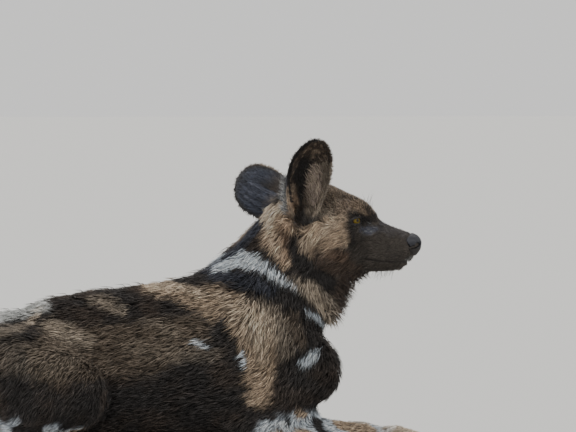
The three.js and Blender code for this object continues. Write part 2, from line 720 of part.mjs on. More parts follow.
// Throat ruff: locks in rows down the throat, fanned to both sides
const ruff = {
  top: [44, 0, 296],
  bottom: [20, 0, 250],
  rows: 5,
  fan: [74, 40],
  perRow: [7, 5],
  width: 14,
  lift: 0.42,
};
function throatRuff() {
  const draw = seeded(21);
  const locks = [];
  for (let row = 0; row < ruff.rows; row++) {
    const down = row / (ruff.rows - 1);
    const inside = mix(ruff.top, ruff.bottom, down);
    const fan = ruff.fan[0] + (ruff.fan[1] - ruff.fan[0]) * down;
    const count = Math.round(ruff.perRow[0] + (ruff.perRow[1] - ruff.perRow[0]) * down);
    for (let n = 0; n < count; n++) {
      const turn = THREE.MathUtils.degToRad(fan * ((2 * n) / (count - 1) - 1) + 5 * (draw() - 0.5));
      const out = fromHead([Math.cos(turn), Math.sin(turn), -0.2]);
      const { at, normal } = skinFrom(fromHead(inside), unit(out));
      const ahead = (0.3 - 0.4 * down) * Math.cos(turn);
      const lie = fromHead([ahead, 0.25 * Math.sin(turn) + 0.3 * (draw() - 0.5), -1]);
      const length = throatLockLength * (0.8 + 0.4 * draw()) * (1 - 0.25 * Math.abs(Math.sin(turn)));
      locks.push(lock(at, normal, lie, length, ruff.width, ruff.lift * (0.7 + 0.5 * draw())));
    }
  }
  return locks;
}

// The ruff's first locks hang from the back of the lower jaw
const chinFringe = { forward: [113, 122, 131], across: [-13, 0, 13], depth: 296 };
function jawFringe() {
  const draw = seeded(22);
  return chinFringe.forward.flatMap((u, row) =>
    chinFringe.across.slice(row === 2 ? 1 : 0, row === 2 ? 2 : 3).map((v) => {
      const { at, normal } = skinFrom(fromHead([u, v, chinFringe.depth]), [0, 0, -1]);
      const lie = fromHead([-0.8, 0.2 * (draw() - 0.5), -0.9]);
      return lock(at, normal, lie, throatLockLength * (0.5 - 0.08 * row), ruff.width * 0.8, 0.7, 4);
    }),
  );
}

// Tail: a curve from the rump down to the floor and round to the right
const tailPath = new THREE.CatmullRomCurve3(
  [
    [-592 - seam / 2, 0, 158], [-624, 0, 152], [-660, -4, 118], [-694, -16, 66], [-728, -38, 31],
    [-760, -76, 22], [-772, -124, 21], [-762, -174, 20], [-736, -222, 20],
  ].map((p) => new THREE.Vector3(...p)),
);
// Out to the tips of the short hair up to the brush, and the core of the brush past it
const brushFrom = 0.48;
const tailRadius = (t) => 25.5 + 2 * Math.sin(Math.PI * t * 2) - 9 * Math.max((t - 0.3) / 0.18, 0) ** 1.5;
const coreRadius = (t) => 17 - 10 * ((t - brushFrom) / (1 - brushFrom)) ** 1.5;
function tailRing(t, radius, sides) {
  const at = tailPath.getPointAt(t).toArray();
  const ahead = t === 0 ? [-1, 0, 0] : tailPath.getTangentAt(t).toArray();
  const side = unit(cross(ahead, [0, 0, 1]));
  const up = cross(side, ahead);
  const ring = Array.from({ length: sides }, (_, n) => {
    const turn = (n / sides) * 2 * Math.PI;
    return add(add(at, side, Math.cos(turn) * radius), up, Math.sin(turn) * radius);
  });
  return { at, ahead, ring };
}
function tailLength(from, to, rings, radiusAt) {
  const made = Array.from({ length: rings + 1 }, (_, i) => {
    const t = from + ((to - from) * i) / rings;
    return tailRing(t, radiusAt(t), 10);
  });
  const end = made.at(-1);
  const tip = to === 1 ? add(end.at, end.ahead, 6) : end.at;
  return loft(made.map(({ ring }) => ring.reverse()), made[0].at, tip);
}

// Brush: rows of long locks round the core, lying towards the tip
const brush = { rows: 5, around: 5, width: 26, lift: 0.22, sink: 8 };
function tailBrush() {
  const draw = seeded(31);
  const locks = [];
  for (let row = 0; row < brush.rows; row++) {
    const t = brushFrom + 0.012 + ((0.965 - brushFrom) * row) / (brush.rows - 1) * 0.98;
    for (let n = 0; n < brush.around; n++) {
      const { at, ahead } = tailRing(t, 1, 4);
      const side = unit(cross(ahead, [0, 0, 1]));
      const turn = ((n + 0.5 * (row % 2) + 0.3 * (draw() - 0.5)) / brush.around) * 2 * Math.PI;
      const normal = unit(add(scale(side, Math.cos(turn)), cross(side, ahead), Math.sin(turn)));
      const root = add(at, normal, coreRadius(t) - 0.5);
      const length = tailLockLength * (0.85 + 0.3 * draw()) * (1 - 0.3 * (t - brushFrom));
      const sink = Math.min(brush.sink, coreRadius(t) * 0.7);
      locks.push(lock(root, normal, ahead, length, brush.width, brush.lift, sink));
    }
  }
  return joined([tailLength(brushFrom, 1, 8, coreRadius), ...locks]);
}

// Claws: short curved horns on each toe
function clawAt(paw, place, side, gap) {
  const { across, length, pitch } = pawSize;
  const [wrist, factor] = paw === "hind" ? [hindPawWrist, 0.95] : [forePawWrist, 1];
  const middle = 1 - Math.abs(place) / 3;
  const padAt = add(wrist, [length * factor * 0.3, 0, -3]);
  const tip = add(padAt, [length * factor * (0.32 + 0.3 * middle), place * across * factor * 1.12, -pitch]);
  const path = [0, 0.35, 0.72, 1].map((t) => {
    return [tip[0] + 2 + clawLength * t, tip[1], tip[2] + 3.4 + 2.2 * Math.sin(t * 2.4) - 8.2 * t * t];
  });
  const widths = [6.4, 5.8, 3.6].map((w) => w + 2 * gap);
  if (gap) path[0] = add(path[0], [-gap, 0, 0]);
  const made = strip(path, [0, 1, 0], widths, 1.25, 5);
  return side > 0 ? made : made.mirror([0, 1, 0]);
}

// Head
const headBox = [[-70, -140, 224], [240, 76, 450]];
const earSlots = joined([earShell("right", seam), earShell("left", seam)]);
const fullHead = keepAhead(surface(bodyField, headBox, grain.head), napeCut);
let head = fullHead.subtract(earSlots);
for (const side of ["right", "left"]) {
  const eye = eyeParts(sideOf[side]);
  head = head.add(lidRing(eye)).subtract(lidOpening(eye)).subtract(eye.sphere(eyeRadius + seam));
  keep("eye_" + side, eye.sphere(eyeRadius), materials.eye);
}
const jaw = joined([fullHead.intersect(headCut(jawOutline(lipGap), 70)), ...jawFringe()]);
const nose = fullHead.intersect(headCut(noseOutline, 40)).subtract(nostril(1)).subtract(nostril(-1));
head = head.subtract(headCut(grown(jawOutline(0), seam), 72)).subtract(headCut(grown(noseOutline, seam), 44));
keep("head", head, materials.coat);
keep("lower_jaw", jaw, materials.dark);
keep("nose", nose, materials.nose);

// Neck
const neckBox = [[-190, -150, 120], [150, 120, 440]];
const neck = keepBehind(keepAhead(surface(bodyField, neckBox, grain.neck), chestCut), napeCut);
keep("neck", keepBehind(joined([neck.subtract(earSlots), ...throatRuff()]), napeCut), materials.coat);
for (const side of ["right", "left"]) keep("ear_" + side, earWithTufts(side), materials.dark);

// Legs and paws, taken out of the trunk
const trunkBox = [[-650, -160, -40], [150, 160, 330]];
let trunk = keepBehind(keepBehind(surface(bodyField, trunkBox, grain.torso), chestCut), tailCut);
for (const side of ["right", "left"]) {
  const sign = sideOf[side];
  const part = (box, step) => surface(bodyField, wrap(box, sign), step);
  const region = (outline, start, gap) => legCut(outline, start, sign, gap);
  const foreLeg = part(foreBox, grain.leg).intersect(region(foreOutline, foreStart, 0));
  const hindLeg = part(hindBox, grain.hind).intersect(region(hindOutline, hindStart, 0));
  let front = keepAhead(part(forePawBox, grain.paw), forePawCut);
  let back = part(hindPawBox, grain.paw).intersect(region(hindPawOutline, hindPawStart, 0));
  toeSpread.forEach((place, i) => {
    front = front.subtract(clawAt("fore", place, sign, seam));
    back = back.subtract(clawAt("hind", place, sign, seam));
    keep(`claw_fore_${side}_${i + 1}`, clawAt("fore", place, sign, 0), materials.claw);
    keep(`claw_hind_${side}_${i + 1}`, clawAt("hind", place, sign, 0), materials.claw);
  });
  trunk = trunk.subtract(region(foreOutline, foreStart, seam)).subtract(region(hindOutline, hindStart, seam));
  keep("foreleg_" + side, aboveFloor(keepBehind(foreLeg, chestCut)), materials.coat);
  const shank = hindLeg.subtract(region(hindPawOutline, hindPawStart, seam));
  keep("hindleg_" + side, aboveFloor(shank), materials.coat);
  keep("forepaw_" + side, aboveFloor(front), materials.coat);
  keep("hindpaw_" + side, aboveFloor(back), materials.coat);
}
keep("torso", aboveFloor(trunk), materials.coat);

// Tail
const tailGap = 0.001; // share of the tail's length
keep("tail_root", aboveFloor(tailLength(0, 0.26, 5, tailRadius)), materials.tan);
const middleLength = tailLength(0.26 + tailGap, brushFrom - tailGap, 5, tailRadius);
keep("tail_middle", aboveFloor(middleLength), materials.dark);
keep("tail_brush", aboveFloor(tailBrush()), materials.pale);

// Each node as a named mesh
const part = new THREE.Group();
part.name = "african_wild_dog";
for (const [name, { made, material }] of Object.entries(nodes)) {
  const { vertProperties, triVerts, numProp } = made.getMesh();
  const geometry = new THREE.BufferGeometry();
  const positions = new Float32Array((vertProperties.length / numProp) * 3);
  for (let i = 0; i < positions.length / 3; i++)
    positions.set(vertProperties.subarray(i * numProp, i * numProp + 3), i * 3);
  geometry.setAttribute("position", new THREE.BufferAttribute(positions, 3));
  geometry.setIndex(new THREE.BufferAttribute(triVerts, 1));
  geometry.computeVertexNormals();
  const mesh = new THREE.Mesh(geometry, material);
  mesh.name = name;
  mesh.position.x = originShift;
  part.add(mesh);
}

export default part;
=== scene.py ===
import json
import math

import bmesh
import bpy
import numpy as np
from mathutils import Matrix, Vector

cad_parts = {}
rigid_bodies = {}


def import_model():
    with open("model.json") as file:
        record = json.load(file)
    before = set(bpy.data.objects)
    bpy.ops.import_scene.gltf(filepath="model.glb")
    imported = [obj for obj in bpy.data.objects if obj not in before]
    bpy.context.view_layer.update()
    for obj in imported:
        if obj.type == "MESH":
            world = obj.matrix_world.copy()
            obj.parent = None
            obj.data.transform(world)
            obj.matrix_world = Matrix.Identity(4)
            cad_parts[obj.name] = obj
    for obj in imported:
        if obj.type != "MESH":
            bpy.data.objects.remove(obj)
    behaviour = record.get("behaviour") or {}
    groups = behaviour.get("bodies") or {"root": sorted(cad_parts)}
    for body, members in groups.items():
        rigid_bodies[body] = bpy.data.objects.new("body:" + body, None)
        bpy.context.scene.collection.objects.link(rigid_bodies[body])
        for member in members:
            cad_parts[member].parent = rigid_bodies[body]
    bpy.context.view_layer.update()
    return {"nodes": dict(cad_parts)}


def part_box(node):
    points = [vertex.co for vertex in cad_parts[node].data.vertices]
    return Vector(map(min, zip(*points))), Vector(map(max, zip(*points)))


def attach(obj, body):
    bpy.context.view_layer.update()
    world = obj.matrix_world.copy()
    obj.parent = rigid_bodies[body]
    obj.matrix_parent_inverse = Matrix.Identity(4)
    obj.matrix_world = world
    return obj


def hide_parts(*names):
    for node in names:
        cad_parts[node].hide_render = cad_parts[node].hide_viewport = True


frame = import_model()
bpy.ops.object.select_all(action="DESELECT")
print("frame loaded")

# Places below are in mm from the chest, as in the part's own source: x ahead, y to the animal's left, z up
mm = 0.001
chestAt = 165  # the frame's x of the chest
headTurn = math.radians(20)  # the head is turned this far to its right
weldReach = 0.00002  # vertices of the solids that are closer than this are one


def unit(v):
    v = np.asarray(v, float)
    return v / np.maximum(np.linalg.norm(v, axis=-1, keepdims=True), 1e-9)


def turned(points, angle):  # to the left about the vertical, or to the right where it is negative
    p = np.asarray(points, float)
    c, s = math.cos(angle), math.sin(angle)
    return np.stack([p[..., 0] * c - p[..., 1] * s, p[..., 1] * c + p[..., 0] * s, p[..., 2]], -1)


def fromHead(points):  # from ahead, left, up of the head to the chest's frame
    return turned(points, -headTurn)


def toHead(points):
    return turned(points, headTurn)


def toFrame(points):  # from mm at the chest to metres in the frame
    return (np.asarray(points, float) + [chestAt, 0, 0]) * mm


def fromFrame(points):
    return np.asarray(points, float) / mm - [chestAt, 0, 0]


def smooth(low, high, value):
    t = np.clip((value - low) / (high - low), 0, 1)
    return t * t * (3 - 2 * t)


# Numbers that scramble a cell's place and the seed
latticeHash = {
    "axes": (73856093, 19349663, 83492791),
    "seed": 265443576,
    "scramble": 1274126177,
    "kept": 0x7FFFFFFF,
    "levels": 0xFFFF,
    "offset": 40.5,
}


def latticeNoise(points, size, seed):  # smooth noise from -1 to 1
    q = np.asarray(points, float) / size + latticeHash["offset"]
    cell = np.floor(q).astype(np.int64)
    f = q - cell
    f = f * f * (3 - 2 * f)
    total = np.zeros(len(q))
    for corner in range(8):
        step = np.array([corner & 1, (corner >> 1) & 1, corner >> 2])
        mixed = np.bitwise_xor.reduce((cell + step) * latticeHash["axes"], 1) ^ seed * latticeHash["seed"]
        mixed = (mixed ^ (mixed >> 13)) * latticeHash["scramble"] & latticeHash["kept"]
        mixed = (mixed ^ (mixed >> 15)) & latticeHash["levels"]
        share = np.where(step == 1, f, 1 - f).prod(1)
        total += share * (mixed / (latticeHash["levels"] / 2) - 1)
    return total


def segmentDistance(points, start, end):  # distance to a segment and the share along it
    start, end = np.asarray(start, float), np.asarray(end, float)
    along = end - start
    t = np.clip(((points - start) @ along) / max(along @ along, 1e-9), 0, 1)
    return np.linalg.norm(points - start - t[:, None] * along, axis=1), t


def newMesh(name, points, faces):
    mesh = bpy.data.meshes.new(name)
    mesh.from_pydata([tuple(p) for p in points], [], faces)
    made = bpy.data.objects.new(name, mesh)
    bpy.context.scene.collection.objects.link(made)
    return made


def only(piece):
    bpy.ops.object.select_all(action="DESELECT")
    piece.select_set(True)
    bpy.context.view_layer.objects.active = piece


def join(pieces):  # all into the first
    only(pieces[0])
    for piece in pieces[1:]:
        piece.select_set(True)
    if len(pieces) > 1:
        bpy.ops.object.join()
    return pieces[0]


def editAll(piece, operator, **settings):  # one operator on the whole of a mesh
    only(piece)
    bpy.ops.object.mode_set(mode="EDIT")
    bpy.ops.mesh.select_all(action="SELECT")
    operator(**settings)
    bpy.ops.object.mode_set(mode="OBJECT")


def applyAll(piece):
    only(piece)
    for modifier in list(piece.modifiers):
        bpy.ops.object.modifier_apply(modifier=modifier.name)


def rounded(piece, levels):
    rounding = piece.modifiers.new("rounding", "SUBSURF")
    rounding.levels = rounding.render_levels = levels
    applyAll(piece)
    bpy.ops.object.shade_smooth()


def mergedCopy(names, label):  # one welded mesh copy of several solids
    copies = []
    for name in names:
        copy = frame["nodes"][name].copy()
        copy.data = copy.data.copy()
        copy.parent = None
        copy.matrix_world = Matrix.Identity(4)
        for key in list(copy.keys()):
            del copy[key]
        bpy.context.scene.collection.objects.link(copy)
        copies.append(copy)
    made = join(copies)
    made.name = made.data.name = label
    made.data.materials.clear()
    editAll(made, bpy.ops.mesh.remove_doubles, threshold=weldReach)
    return made


def readAll(items, label, width, kind=np.float32):  # one value of every item, as rows
    found = np.zeros(len(items) * width, kind)
    items.foreach_get(label, found)
    return found.reshape(-1, width)


def getPoints(piece):
    return readAll(piece.data.vertices, "co", 3).astype(float)


def setPoints(piece, points):
    piece.data.vertices.foreach_set("co", points.astype(np.float32).ravel())
    piece.data.update()


def getEdges(piece):
    return readAll(piece.data.edges, "vertices", 2, np.int32)


def getNormals(piece):
    return readAll(piece.data.vertex_normals, "vector", 3).astype(float)


def keepLargest(piece):  # drops loose scraps
    only(piece)
    bpy.ops.object.mode_set(mode="EDIT")
    bpy.ops.mesh.select_mode(type="VERT")
    bpy.ops.mesh.select_all(action="DESELECT")
    bpy.ops.object.mode_set(mode="OBJECT")
    piece.data.vertices[int(getPoints(piece)[:, 0].argmax())].select = True
    bpy.ops.object.mode_set(mode="EDIT")
    bpy.ops.mesh.select_linked()
    bpy.ops.mesh.select_all(action="INVERT")
    bpy.ops.mesh.delete(type="VERT")
    bpy.ops.object.mode_set(mode="OBJECT")


def oneSurface(piece, voxel):  # one closed skin round all that overlaps
    remesh = piece.modifiers.new("oneSurface", "REMESH")
    remesh.mode = "VOXEL"
    remesh.voxel_size = voxel * mm
    applyAll(piece)
    keepLargest(piece)


def relax(points, edges, rounds, pull=0.55):  # evens out each vertex for its own number of rounds
    n = len(points)
    count = np.maximum(np.bincount(edges.ravel(), minlength=n), 1)[:, None]
    a, b = edges[:, 0], edges[:, 1]
    for turn in range(int(rounds.max())):
        total = np.stack(
            [np.bincount(a, points[b, k], n) + np.bincount(b, points[a, k], n) for k in range(3)], 1
        )
        share = np.clip(rounds - turn, 0, 1)[:, None] * pull
        points = points + share * (total / count - points)
    return points


# Camera: the photo's viewing angle and framing, with the long lens that the photo was taken with
camera = {
    "azimuth": -20,
    "elevation": 1.0,
    "distance": 12.0,
    "pictureWidth": 0.9216,
    "centreHeight": 0.373,
    "sensor": 36,
    "clip": (0.1, 400),
}


def wayTo(azimuth, height):  # towards a camera or a light, from its two angles in degrees
    a, h = math.radians(azimuth), math.radians(height)
    return Vector((math.sin(a) * math.cos(h), -math.cos(a) * math.cos(h), math.sin(h)))


def aim(piece, back):
    piece.rotation_mode = "QUATERNION"
    piece.rotation_quaternion = (-back).to_track_quat("-Z", "Y")


def makeCamera():
    back = wayTo(camera["azimuth"], camera["elevation"])
    middle = Vector((chestAt * mm, 0, camera["centreHeight"]))
    bpy.ops.object.camera_add(location=middle + back * camera["distance"])
    view = bpy.context.object
    view.name = "photoCamera"
    aim(view, back)
    view.data.sensor_width = camera["sensor"]
    view.data.lens = camera["sensor"] * camera["distance"] / camera["pictureWidth"]
    view.data.clip_start, view.data.clip_end = camera["clip"]
    bpy.context.scene.camera = view


studio = {
    "sky": (0.93, 0.925, 0.91),
    "skyStrength": 0.95,
    "floorColour": (0.58, 0.581, 0.57),
    "floorRoughness": 0.85,
    "floorHalf": 120,
    "floorCuts": 4,
    "sunDistance": 4,
    "suns": {  # azimuth and height in degrees, strength, softness in degrees, colour
        "keySun": (-58, 50, 1.75, 20, (1.0, 0.97, 0.92)),
        "fillSun": (40, 28, 0.3, 60, (0.93, 0.96, 1.0)),
        "backSun": (150, 55, 0.75, 30, (1.0, 0.97, 0.93)),
    },
}


def makeStudio():
    world = bpy.data.worlds.new("studioWorld")
    world.use_nodes = True
    background = world.node_tree.nodes["Background"]
    background.inputs["Color"].default_value = (*studio["sky"], 1)
    background.inputs["Strength"].default_value = studio["skyStrength"]
    bpy.context.scene.world = world
    for name, (azimuth, height, strength, softness, colour) in studio["suns"].items():
        back = wayTo(azimuth, height)
        bpy.ops.object.light_add(type="SUN", location=back * studio["sunDistance"])
        sun = bpy.context.object
        sun.name = name
        aim(sun, back)
        sun.data.energy = strength
        sun.data.angle = math.radians(softness)
        sun.data.color = colour
    bpy.ops.mesh.primitive_plane_add(size=studio["floorHalf"] * 2, location=(0, 0, 0))
    floor = bpy.context.object
    floor.name = "studioFloor"
    editAll(floor, bpy.ops.mesh.subdivide, number_cuts=studio["floorCuts"])
    finish, _, _ = shaderOf("paleFloor", studio["floorRoughness"], Base_Color=(*studio["floorColour"], 1))
    floor.data.materials.append(finish)


# Materials
def addNode(tree, kind, **values):
    node = tree.nodes.new("ShaderNode" + kind)
    for label, value in values.items():
        node.inputs[label.replace("_", " ")].default_value = value
    return node


def link(tree, source, output, target, entry):
    tree.links.new(source.outputs[output], target.inputs[entry])


def shaderOf(name, roughness, **values):
    material = bpy.data.materials.new(name)
    material.use_nodes = True
    shader = material.node_tree.nodes["Principled BSDF"]
    shader.inputs["Roughness"].default_value = roughness
    for label, value in values.items():
        shader.inputs[label.replace("_", " ")].default_value = value
    return material, material.node_tree, shader


def addNoise(tree, scale, detail, roughness=0.6):
    place = addNode(tree, "TexCoord")
    noise = addNode(tree, "TexNoise", Scale=scale, Detail=detail, Roughness=roughness)
    link(tree, place, "Object", noise, "Vector")
    return noise


def addBump(tree, shader, source, output, strength, distance):
    bump = addNode(tree, "Bump", Strength=strength, Distance=distance)
    link(tree, source, output, bump, "Height")
    link(tree, bump, "Normal", shader, "Normal")


def paintedColour(tree):  # the colour that is painted on the vertices
    colour = addNode(tree, "Attribute")
    colour.attribute_name = "coatColour"
    return colour


strandTone = {"From_Min": 0.3, "From_Max": 0.7, "To_Min": 0.78, "To_Max": 1.18}


def paintedFinish(name, roughness, strands, bumpDistance, **values):
    material, tree, shader = shaderOf(name, roughness, **values)
    colour = paintedColour(tree)
    noise = addNoise(tree, strands, 3)
    ramp = addNode(tree, "MapRange", **strandTone)
    scaled = addNode(tree, "VectorMath")
    scaled.operation = "SCALE"
    link(tree, noise, "Fac", ramp, "Value")
    link(tree, colour, "Color", scaled, 0)
    link(tree, ramp, "Result", scaled, "Scale")
    link(tree, scaled, "Vector", shader, "Base Color")
    addBump(tree, shader, noise, "Fac", 0.5, bumpDistance)
    return material


makeCamera()
makeStudio()
print("camera, lights and floor")

# Ears: a leaf rolled into a cup about its own axis, the same form as in the part's source, finer and thicker
ears = {
    "length": 138.5,
    "halfWidth": 48.5,
    "wall": 4.4,
    "thinner": 0.2,  # the wall's rim is thinner by this share
    "right": {
        "root": (17.5, -54, 368),
        "axis": (0.19, -0.34, 0.92),
        "open": (0.36, -0.9, -0.3),
        "roll": 1,
        "breadth": 0.955,
    },
    "left": {
        "root": (6, 53, 386),
        "axis": (-0.65, 0.7, 0.33),
        "open": (0.62, 0.74, -0.24),
        "roll": 0.84,
        "breadth": 1,
    },
}
sideOf = {"right": -1, "left": 1}
# The leaf's outline, its narrower foot, how far it is curled, how its spine bends and how deep it sits
leaf = {
    "taper": (0.24, 0.76, 2.1, 0.6),
    "foot": (0.93, 0.07, 0.3, 0.8),
    "leastHalf": 3,
    "curl": (1.85, 1.5, 0.62),
    "spine": (10, 6),
    "sit": 0.25,
}
shell = {
    "alongs": [-0.05, *np.linspace(0, 0.9, 36), 0.925, 0.95, 0.967, 0.98, 0.99, 0.996, 0.999],
    "columns": 40,
}
# Points within this range of the ear's length, this far from its inner face and past its edge are on it
earReach = {"along": (0.02, 1.04), "near": 4, "pastEdge": 0.35, "mostShare": 1.2}


def earFrame(side):
    pose = ears[side]
    axis = unit(fromHead(pose["axis"]))
    rawOpen = fromHead(pose["open"])
    towards = unit(rawOpen - axis * (rawOpen @ axis))
    halfWidth = ears["halfWidth"] * pose["breadth"]
    return fromHead(pose["root"]), axis, towards, np.cross(axis, towards), pose["roll"], halfWidth


def earSection(along, roll, halfWidth):  # half width, angle of half the leaf, radius and the spine's place
    start, rest, power, roundness = leaf["taper"]
    full = np.maximum(1 - np.maximum((along - start) / rest, 0) ** power, 0) ** roundness
    narrow, gain, footLength, footPower = leaf["foot"]
    foot = narrow + gain * np.minimum(np.maximum(along, 0) / footLength, 1) ** footPower
    half = np.maximum(halfWidth * full * foot, leaf["leastHalf"])
    most, fade, least = leaf["curl"]
    curl = (most * np.maximum(1 - along, 0) ** fade + least) * roll
    bow, lean = leaf["spine"]
    return half, curl, half / curl, bow * np.sin(along * math.pi) - lean * along * along


def earPoint(side, along, share, depth):
    root, axis, towards, across, roll, halfWidth = earFrame(side)
    along, share = np.asarray(along, float), np.asarray(share, float)
    half, curl, radius, spine = earSection(along, roll, halfWidth)
    turn = curl * share
    lift = radius - (radius + depth) * np.cos(turn) - leaf["sit"] * half - spine
    wide = (radius + depth) * np.sin(turn)
    up = (ears["length"] * along)[..., None] * axis
    return root + up + lift[..., None] * towards + wide[..., None] * across


def earInfo(points, normals, side):  # which points are on this ear, where, and which face
    root, axis, towards, across, roll, halfWidth = earFrame(side)
    q = points - root
    along = (q @ axis) / ears["length"]
    first, last = earReach["along"]
    half, curl, radius, spine = earSection(np.clip(along, 0, 0.999), roll, halfWidth)
    lift = q @ towards - (radius - leaf["sit"] * half - spine)
    wide = q @ across
    out = np.hypot(lift, wide)
    turn = np.arctan2(wide, -lift)
    least = np.maximum(out, 1e-6)
    outward = (-lift / least)[:, None] * -towards + (wide / least)[:, None] * across
    on = (along > first) & (along < last) & (np.abs(turn) < curl + earReach["pastEdge"])
    on &= (out - radius < ears["wall"] + earReach["near"]) & (out - radius > -earReach["near"])
    inner = np.einsum("ij,ij->i", normals, outward) < 0
    return on, along, np.clip(turn / curl, -earReach["mostShare"], earReach["mostShare"]), inner


def onAnEar(points, normals):
    return np.any([earInfo(points, normals, side)[0] for side in sideOf], 0)


def earShell(side):
    columns = shell["columns"]
    shares = np.linspace(-1, 1, columns + 1)
    points, faces = [], []
    for face in (0, 1):
        depth = face * ears["wall"] * (1 - ears["thinner"] * np.abs(shares) ** 6)
        for along in shell["alongs"]:
            points.extend(earPoint(side, np.full(len(shares), along), shares, depth))
    count, width = len(shell["alongs"]), columns + 1

    def at(face, i, j):
        return (face * count + i) * width + j

    for i in range(count - 1):
        for j in range(columns):
            faces.append((at(0, i, j), at(0, i, j + 1), at(0, i + 1, j + 1), at(0, i + 1, j)))
            faces.append((at(1, i, j), at(1, i + 1, j), at(1, i + 1, j + 1), at(1, i, j + 1)))
        faces.append((at(0, i, 0), at(0, i + 1, 0), at(1, i + 1, 0), at(1, i, 0)))
        faces.append((at(0, i, columns), at(1, i, columns), at(1, i + 1, columns), at(0, i + 1, columns)))
    for i in (0, count - 1):
        for j in range(columns):
            faces.append((at(0, i, j), at(1, i, j), at(1, i, j + 1), at(0, i, j + 1)))
    made = newMesh("earShell", toFrame(points), faces)
    editAll(made, bpy.ops.mesh.normals_make_consistent, inside=False)
    return made


# Tail: the same curve as in the part's source
tail = {
    "path": [
        (-592, 0, 158), (-624, 0, 152), (-660, -4, 118), (-694, -16, 66), (-728, -38, 31),
        (-760, -76, 22), (-772, -124, 21), (-762, -174, 20), (-736, -222, 20),
    ],
    "stepsBetween": 12,
    "steps": 60,
    "brushFrom": 0.46,
    "overlap": 0.05,
    "coreStart": 15,
    "coreEnd": 6,
    "coreSides": 14,
}


def tailPoints():
    knots = np.array(tail["path"], float)
    knots = np.concatenate([[2 * knots[0] - knots[1]], knots, [2 * knots[-1] - knots[-2]]])
    found = []
    for i in range(1, len(knots) - 2):
        p0, p1, p2, p3 = knots[i - 1 : i + 3]
        for t in np.linspace(0, 1, tail["stepsBetween"], endpoint=False):
            square = (2 * p0 - 5 * p1 + 4 * p2 - p3) * t**2
            cube = (3 * p1 - p0 - 3 * p2 + p3) * t**3
            found.append(0.5 * (2 * p1 + (p2 - p0) * t + square + cube))
    found.append(knots[-2])
    found = np.array(found)
    lengths = np.concatenate([[0], np.cumsum(np.linalg.norm(np.diff(found, axis=0), axis=1))])
    wanted = np.linspace(0, lengths[-1], tail["steps"] + 1)
    return np.stack([np.interp(wanted, lengths, found[:, k]) for k in range(3)], 1)


def brushCore():  # a tapered tube down the middle of the brush
    line = tailPoints()[int(tail["steps"] * (tail["brushFrom"] - tail["overlap"])) :]
    sides, points, faces = tail["coreSides"], [], []
    for i, at in enumerate(line):
        ahead = unit(line[min(i + 1, len(line) - 1)] - line[max(i - 1, 0)])
        side = unit(np.cross(ahead, [0, 0, 1]))
        up = np.cross(side, ahead)
        share = i / (len(line) - 1)
        radius = tail["coreStart"] + (tail["coreEnd"] - tail["coreStart"]) * share
        for n in range(sides):
            turn = n / sides * 2 * math.pi
            points.append(at + radius * (math.cos(turn) * side + math.sin(turn) * up))
    for i in range(len(line) - 1):
        for n in range(sides):
            m = (n + 1) % sides
            faces.append((i * sides + n, i * sides + m, (i + 1) * sides + m, (i + 1) * sides + n))
    faces.append(tuple(range(sides))[::-1])
    faces.append(tuple((len(line) - 1) * sides + n for n in range(sides)))
    core = newMesh("brushCore", toFrame(points), faces)
    editAll(core, bpy.ops.mesh.normals_make_consistent, inside=False)
    return core


